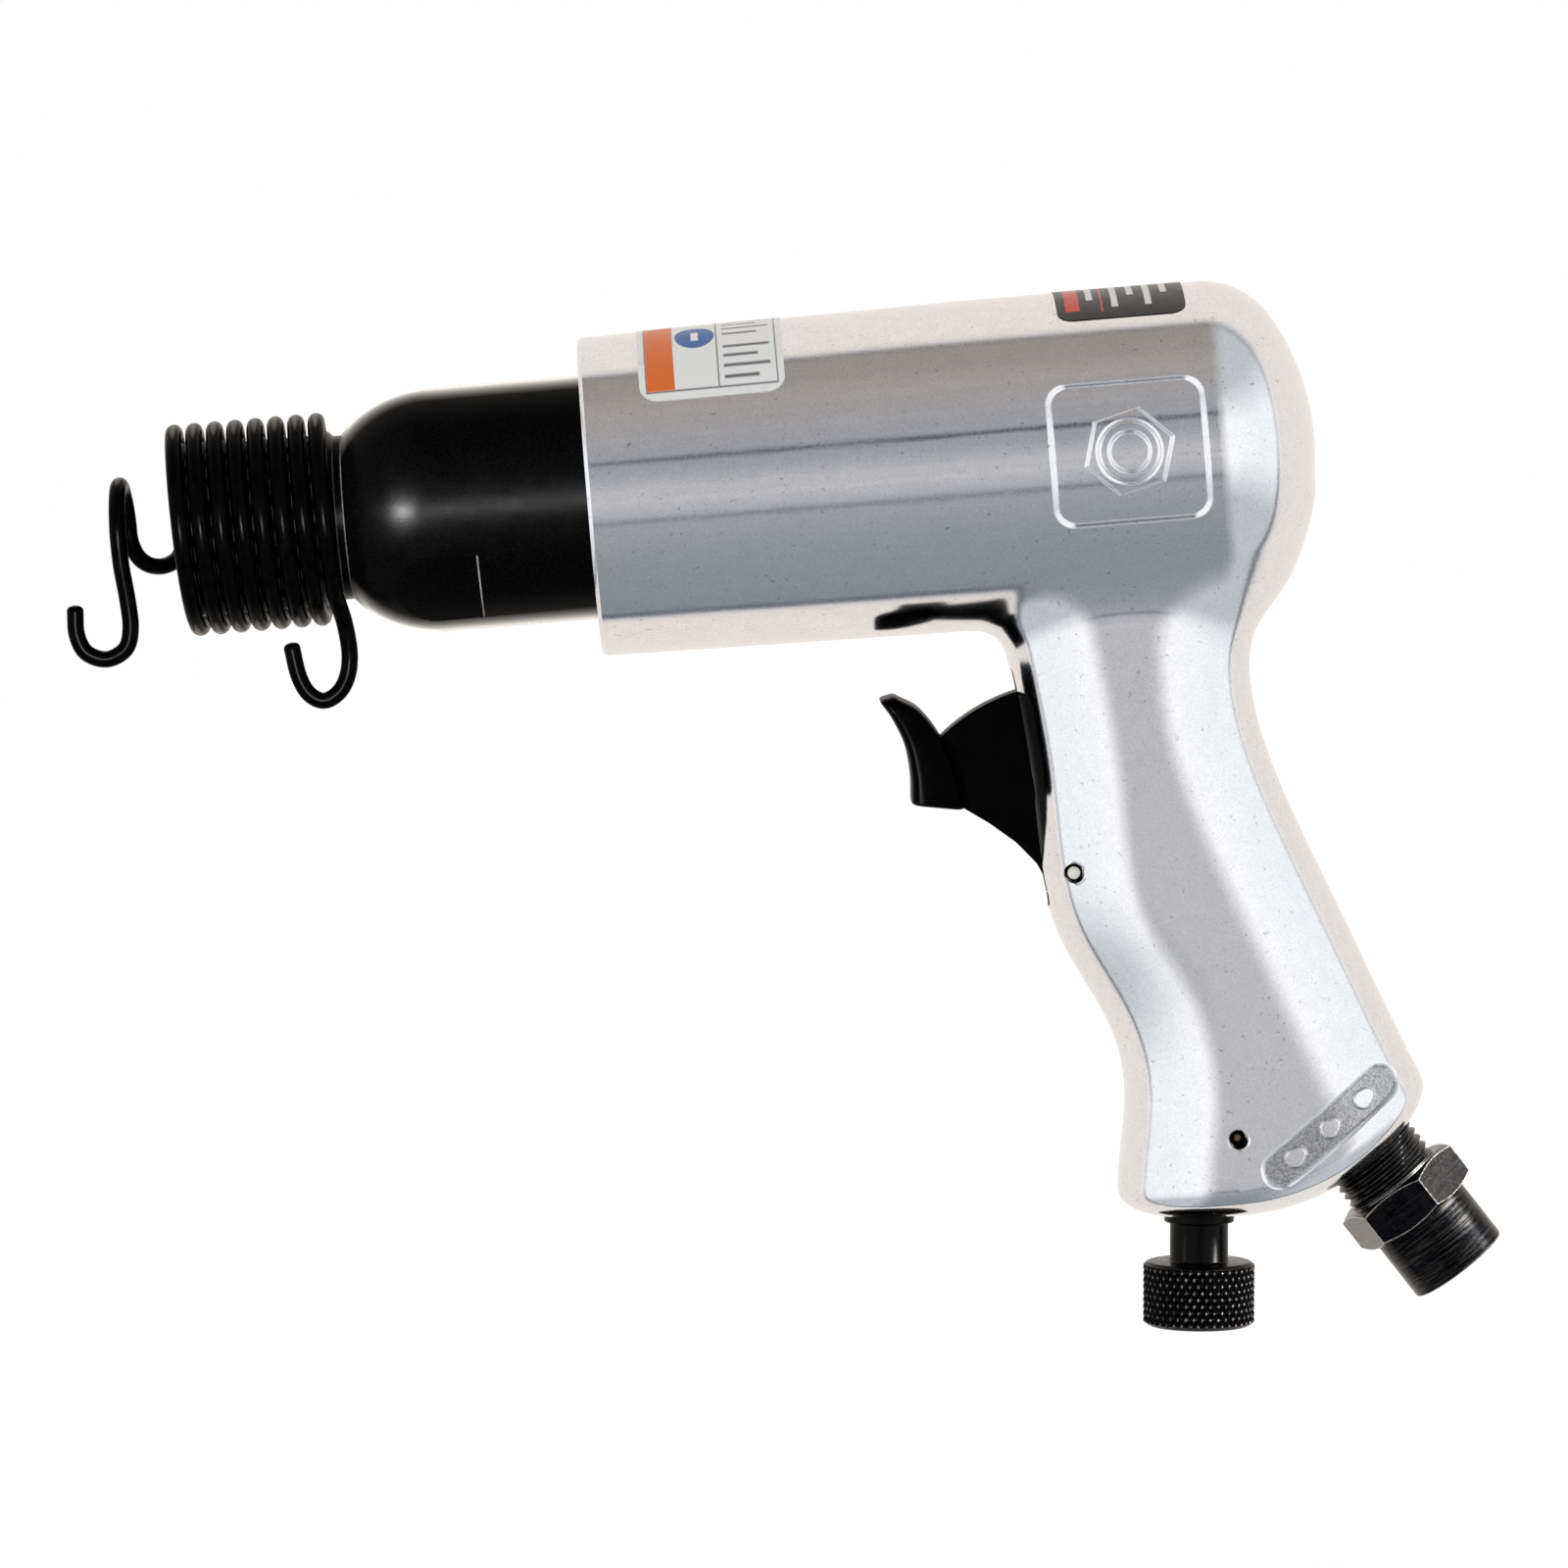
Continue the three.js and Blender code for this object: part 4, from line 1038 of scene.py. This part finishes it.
def pin_steel(name, spot, core, tip):
    """A pin whose end has a pale core inside a black ring of painted shade, drawn by the distance from its
    axis.
    """
    paint = Paint(name)
    centre = to_frame((spot[0], 0, spot[1]))
    split = paint.put("ShaderNodeSeparateXYZ", Vector=paint.place).outputs
    away = paint.maths("SQRT", paint.squares(*[paint.apart(split[k], centre[k]) for k in (0, 2)]))
    # painted shade: the pin's end is painted near black outside the core radius
    ring = paint.level(away, (core - 0.08) * MM, (core + 0.08) * MM)
    stain = paint.noise(1500, 4, 0.6)
    pale = paint.blend(paint.level(stain, 0.4, 0.7), srgb(*tip), srgb(*[int(c * 0.92) for c in tip]))
    paint.colour(ring, pale, srgb(2, 2, 2))
    paint.gloss(0.05)
    paint.rough(stain, 0.32, 0.5)
    paint.relief(stain, 0.01, 0.5)
    return paint.material


def machined(name, colour, rough=(0.18, 0.32)):
    """Ground or turned metal inside the tool and on its pins."""
    paint = Paint(name)
    lines = paint.noise(1800, 3, 0.6, stretch=(1, 0.1, 0.1))
    stain = paint.noise(300, 4, 0.6)
    paint.colour(paint.level(stain, 0.35, 0.7), srgb(*colour), srgb(*[int(c * 0.8) for c in colour]))
    paint.feed("Metallic", 1.0)
    paint.rough(lines, *rough)
    paint.relief(lines, 0.006, 0.5)
    return paint.material


def rubber():
    paint = Paint("seal_rubber")
    dust = paint.noise(500, 4, 0.6)
    paint.colour(paint.level(dust, 0.45, 0.75), srgb(22, 22, 23), srgb(48, 47, 46))
    paint.rough(dust, 0.5, 0.68)
    paint.relief(paint.noise(2400, 3, 0.6), 0.01, 0.6)
    return paint.material


def print_base(name, paper, rough):
    """A label film: its print is drawn in the 0 to 1 square of its own UV map."""
    paint = Paint(name)
    uv = paint.tree.nodes.new("ShaderNodeUVMap")
    uv.uv_map = "print"
    split = paint.put("ShaderNodeSeparateXYZ", Vector=uv.outputs[0])
    paint.u, paint.v = split.outputs[0], split.outputs[1]
    scuff = paint.noise(420, 5, 0.65)
    scuffed = srgb(*[c * 0.86 for c in paper])
    paint.printed = paint.blend(paint.level(scuff, 0.5, 0.8, 0, 0.5), srgb(*paper), scuffed)
    paint.rough(scuff, rough, rough + 0.16)
    paint.gloss(0.5)
    paint.relief(paint.noise(1500, 3, 0.5), 0.006, 0.5)
    return paint


def span(paint, value, low, high, soft=0.004):
    """1 between low and high."""
    rise = paint.level(value, low - soft, low + soft)
    fall = paint.level(value, high - soft, high + soft, 1.0, 0.0)
    return paint.times(rise, fall)


def block(paint, colour, u, v):
    """Prints a plain rectangle."""
    mask = paint.times(span(paint, paint.u, *u), span(paint, paint.v, *v))
    paint.printed = paint.blend(mask, paint.printed, srgb(*colour))


def disc(paint, colour, centre, size, ratio):
    """Prints a plain disc; ratio is the label's width over its height."""
    across = paint.times(paint.apart(paint.u, centre[0]), ratio)
    square = paint.squares(across, paint.apart(paint.v, centre[1]))
    mask = paint.level(square, size ** 2 * 0.94, size ** 2 * 1.06, 1.0, 0.0)
    paint.printed = paint.blend(mask, paint.printed, srgb(*colour))


def safety_film():
    """White film with an orange end, blue discs and grey bars inside a thin frame: shapes only."""
    paint = print_base("white_label", (238, 238, 235), 0.28)
    inside = (0.036, 0.964)
    block(paint, (30, 30, 32), (0.045, 0.955), (0.03, 0.97))
    block(paint, (238, 238, 235), (0.052, 0.948), inside)
    block(paint, (228, 110, 36), (0.052, 0.245), inside)
    block(paint, (30, 30, 32), (0.545, 0.553), inside)
    for row in range(4):
        centre = 0.14 + 0.24 * row
        for k in range(4):
            bar = (centre - 0.09 + 0.05 * k, centre - 0.075 + 0.05 * k)
            block(paint, (110, 110, 112), (0.59, 0.91 - 0.08 * (k % 2)), bar)
    for centre in (0.315, 0.685):
        disc(paint, (30, 96, 160), (0.40, centre), 0.085, 0.62)
        block(paint, (236, 236, 236), (0.375, 0.425), (centre - 0.035, centre + 0.035))
    paint.feed("Base Color", paint.printed)
    return paint.material


def rating_film():
    """Black film with an orange-red column and pale columns across it: shapes only."""
    paint = print_base("black_label", (14, 14, 15), 0.24)
    block(paint, (206, 62, 30), (0.07, 0.18), (0.08, 0.92))
    block(paint, (222, 222, 218), (0.24, 0.29), (0.10, 0.80))
    block(paint, (206, 62, 30), (0.345, 0.36), (0.06, 0.94))
    for k in range(4):
        left = 0.43 + 0.13 * k
        block(paint, (222, 222, 218), (left, left + 0.05), (0.12, 0.90 - 0.14 * (k % 2)))
    paint.feed("Base Color", paint.printed)
    return paint.material


# ---- studio ----
CAMERA_DISTANCE = 1.2
CAMERA_ELEVATION = 4.0
CAMERA_ROLL = 4.7
CAMERA_VIEW = 11.97
CAMERA_TARGET = Vector((-0.0629, 0.0, 0.0176))
FLOOR_GAP = 0.035


def make_camera():
    data = bpy.data.cameras.new("camera")
    data.sensor_fit = "HORIZONTAL"
    data.angle = math.radians(CAMERA_VIEW)
    data.clip_start = 0.05
    camera = bpy.data.objects.new("camera", data)
    lift = math.radians(CAMERA_ELEVATION)
    back = Vector((0, -math.cos(lift), math.sin(lift)))
    camera.location = CAMERA_TARGET + back * CAMERA_DISTANCE
    facing = (-back).to_track_quat("-Z", "Y").to_matrix().to_4x4()
    roll = Matrix.Rotation(math.radians(-CAMERA_ROLL), 4, "Z")
    camera.matrix_world = Matrix.Translation(camera.location) @ facing @ roll
    bpy.context.scene.collection.objects.link(camera)
    bpy.context.scene.camera = camera


def strip_light(name, place, target, size, power, piece):
    """A soft strip light that reaches only one piece, for the highlight along it."""
    data = bpy.data.lights.new(name, "AREA")
    data.shape = "RECTANGLE"
    data.size, data.size_y = size
    data.energy = power
    light = bpy.data.objects.new(name, data)
    light.location = Vector(place)
    light.rotation_euler = (Vector(target) - Vector(place)).to_track_quat("-Z", "Y").to_euler()
    bpy.context.scene.collection.objects.link(light)
    reached = bpy.data.collections.new(name + "_reach")
    reached.objects.link(piece)
    light.light_linking.receiver_collection = reached


def make_world():
    """A white tent with a grey gap towards -Y and a dark seam where its two halves meet."""
    world = bpy.data.worlds.new("studio")
    world.use_nodes = True
    bpy.context.scene.world = world
    tree = world.node_tree
    tree.nodes.clear()
    paint = Nodes(tree)
    place = paint.put("ShaderNodeTexCoord").outputs["Generated"]
    x, y, z = paint.put("ShaderNodeSeparateXYZ", Vector=place).outputs
    wobble = paint.put("ShaderNodeTexNoise", Vector=place, Scale=2.0, Detail=2.0).outputs["Fac"]
    across = paint.maths("ABSOLUTE", x)
    gap = paint.level(across, 0.11, 0.31, 1.0, 0.0)
    gap = paint.times(gap, paint.level(y, 0.10, 0.18, 1.0, 0.0))
    cards = paint.level(paint.apart(z, 0.05), 0.22, 0.62, 1.0, 0.0)
    card = paint.blend(paint.level(across, 0.3, 0.85), (1.18, 1.18, 1.19, 1), (1.08, 1.10, 1.13, 1))
    tent = paint.blend(cards, (0.62, 0.64, 0.68, 1), card)
    tent = paint.blend(paint.level(y, 0.10, 0.24), tent, (0.93, 0.87, 0.82, 1))
    under = paint.blend(paint.level(z, -1.0, -0.1), (0.29, 0.32, 0.35, 1), (0.48, 0.49, 0.53, 1))
    above = paint.blend(paint.level(z, 0.45, 0.95), (0.42, 0.43, 0.46, 1), (0.46, 0.42, 0.39, 1))
    above = paint.blend(paint.level(z, 0.9, 1.0), above, (0.37, 0.34, 0.31, 1))
    front = paint.blend(paint.level(z, -0.05, 0.15), under, above)
    glow = paint.level(paint.apart(z, -0.03), 0.05, 0.30, 1.0, 0.0)
    front = paint.blend(glow, front, (0.63, 0.63, 0.65, 1))
    streaks = paint.put("ShaderNodeMapping", Vector=place, Scale=(0.6, 1.0, 9.0)).outputs[0]
    streak = paint.put("ShaderNodeTexNoise", Vector=streaks, Scale=2.2, Detail=3.0).outputs["Fac"]
    front = paint.blend(paint.level(streak, 0.35, 0.65, 0.22, 0.0), front, (0.22, 0.23, 0.26, 1))
    for height, depth in ((0.40, 0.95), (-0.34, 0.5)):
        lifted = paint.plus(z, paint.spread(wobble, -height - 0.03, -height + 0.03))
        line = paint.level(paint.maths("ABSOLUTE", lifted), 0.012, 0.032, depth, 0.0)
        front = paint.blend(line, front, (0.04, 0.05, 0.07, 1))
    seen = paint.blend(gap, tent, front)
    seam = paint.level(paint.apart(y, 0.10), 0.02, 0.06, 1.0, 0.0)
    seam = paint.times(seam, paint.level(z, -0.40, 0.0, 0.9, 0.35))
    seen = paint.blend(seam, seen, (0.12, 0.13, 0.16, 1))
    shown = paint.blend(paint.put("ShaderNodeLightPath").outputs["Is Camera Ray"], seen, (1, 1, 1, 1))
    background = paint.put("ShaderNodeBackground", Color=shown, Strength=1.0)
    paint.put("ShaderNodeOutputWorld", Surface=background.outputs[0])


def make_floor():
    """A wide pale floor with a little light of its own, below the tool's lowest point."""
    low = CAD_BOX[0][2] - FLOOR_GAP
    corners = [(-3, -3, low), (3, -3, low), (3, 3, low), (-3, 3, low)]
    floor = raw_object("studio_floor", (corners, [(0, 1, 2, 3)]))
    paint = Paint("studio_floor")
    paint.colour(paint.noise(3, 2), srgb(238, 238, 238), srgb(246, 246, 246))
    paint.feed("Roughness", 0.9)
    paint.feed("Emission Color", (1, 1, 1, 1))
    paint.feed("Emission Strength", 0.42)
    floor.data.materials.append(paint.material)
    floor.visible_glossy = False


# ---- the tool ----
def dress(material, *nodes):
    """Gives CAD nodes that stay their finish."""
    for node in nodes:
        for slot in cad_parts[node].material_slots:
            slot.link = "OBJECT"
            slot.material = material


def main():
    make_camera()
    make_world()
    make_floor()

    aluminium, black, knob = polished_aluminium(), black_steel(), knob_steel()
    pins = machined("bright_steel", (206, 203, 196))
    seals, brass = rubber(), machined("valve_brass", (198, 162, 92))
    hard = machined("tool_steel", (150, 150, 152), (0.16, 0.28))

    settle(housing_shape(), aluminium, "handle_housing", "housing", 30)
    barrel = settle(barrel_shape(), black, "barrel", "housing", 30)
    wire = raw_object("retainer_wire", retainer_shape())
    settle(wire, spring_wire(), "retainer_spring", "retainer", 60)
    trigger = settle(trigger_shape(), black_composite(), "trigger", "trigger", 30)
    control = settle(regulator_shape(), knob, "regulator", "regulator", 40)
    inlet = settle(inlet_shape(), worn_steel(), "inlet_bushing", "housing", 30)
    safety = label_shape("safety_label_film", 9.5, 32.5, 110, 3.0)
    settle(safety, safety_film(), "safety_label", "housing", 40)
    rating = label_shape("rating_label_film", 76.2, 96.6, 68, 2.5)
    settle(rating, rating_film(), "rating_label", "housing", 40)
    pale, brown = (255, 252, 240), (150, 124, 100)
    for node, spot, radius, core, tip in (("trigger_pin", PIVOT, 1.3, 0.98, pale),
                                          ("regulator_pin", STOP_PIN, 1.25, 0.5, brown)):
        low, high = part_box(node)
        half = (high.y - low.y) / 2 / MM - 0.02
        finish = pin_steel(node + "_finish", spot, core, tip)
        settle(cross_pin(node + "_turned", spot, radius, half), finish, node, "housing", 40)

    for name, place, target, size, power, piece in (
            ("front", (-0.14, -0.9, 0.08), (-0.12, 0, 0.066), (0.30, 0.14), 9.0, barrel),
            ("shoulder", (-0.55, -0.8, 0.10), (-0.12, 0, 0.066), (0.26, 0.08), 76.0, barrel),
            ("wire", (-0.16, -0.9, 0.08), (-0.14, 0, 0.066), (0.20, 0.16), 16.0, wire),
            ("finger", (-0.34, -0.56, -0.03), (-0.04, 0, 0.02), (0.07, 0.14), 9.0, trigger),
            ("left", (-0.70, -0.36, -0.05), (0.02, 0, -0.05), (0.12, 0.30), 0.4, control),
            ("right", (0.74, -0.36, -0.05), (0.02, 0, -0.05), (0.12, 0.30), 20.0, control),
            ("collar", (0.62, -0.28, 0.30), (0.04, 0, -0.07), (0.55, 0.30), 11.0, inlet)):
        strip_light(name + "_strip", place, target, size, power, piece)

    spring = settle(throttle_spring(), pins, "throttle_spring", "housing", 60)
    low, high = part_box("throttle_spring")
    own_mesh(spring)

    dress(seals, "barrel_seal", "valve_gasket", "plunger_seal", "regulator_seal")
    dress(hard, "piston", "valve_seat", "valve_plate", "valve_block", "throttle_valve")
    dress(pins, "valve_dowel", "throttle_plunger")
    dress(brass, "plunger_bushing", "throttle_seat", "inlet_screen")
    bpy.context.scene.view_settings.view_transform = "Standard"


main()
bpy.context.view_layer.update()
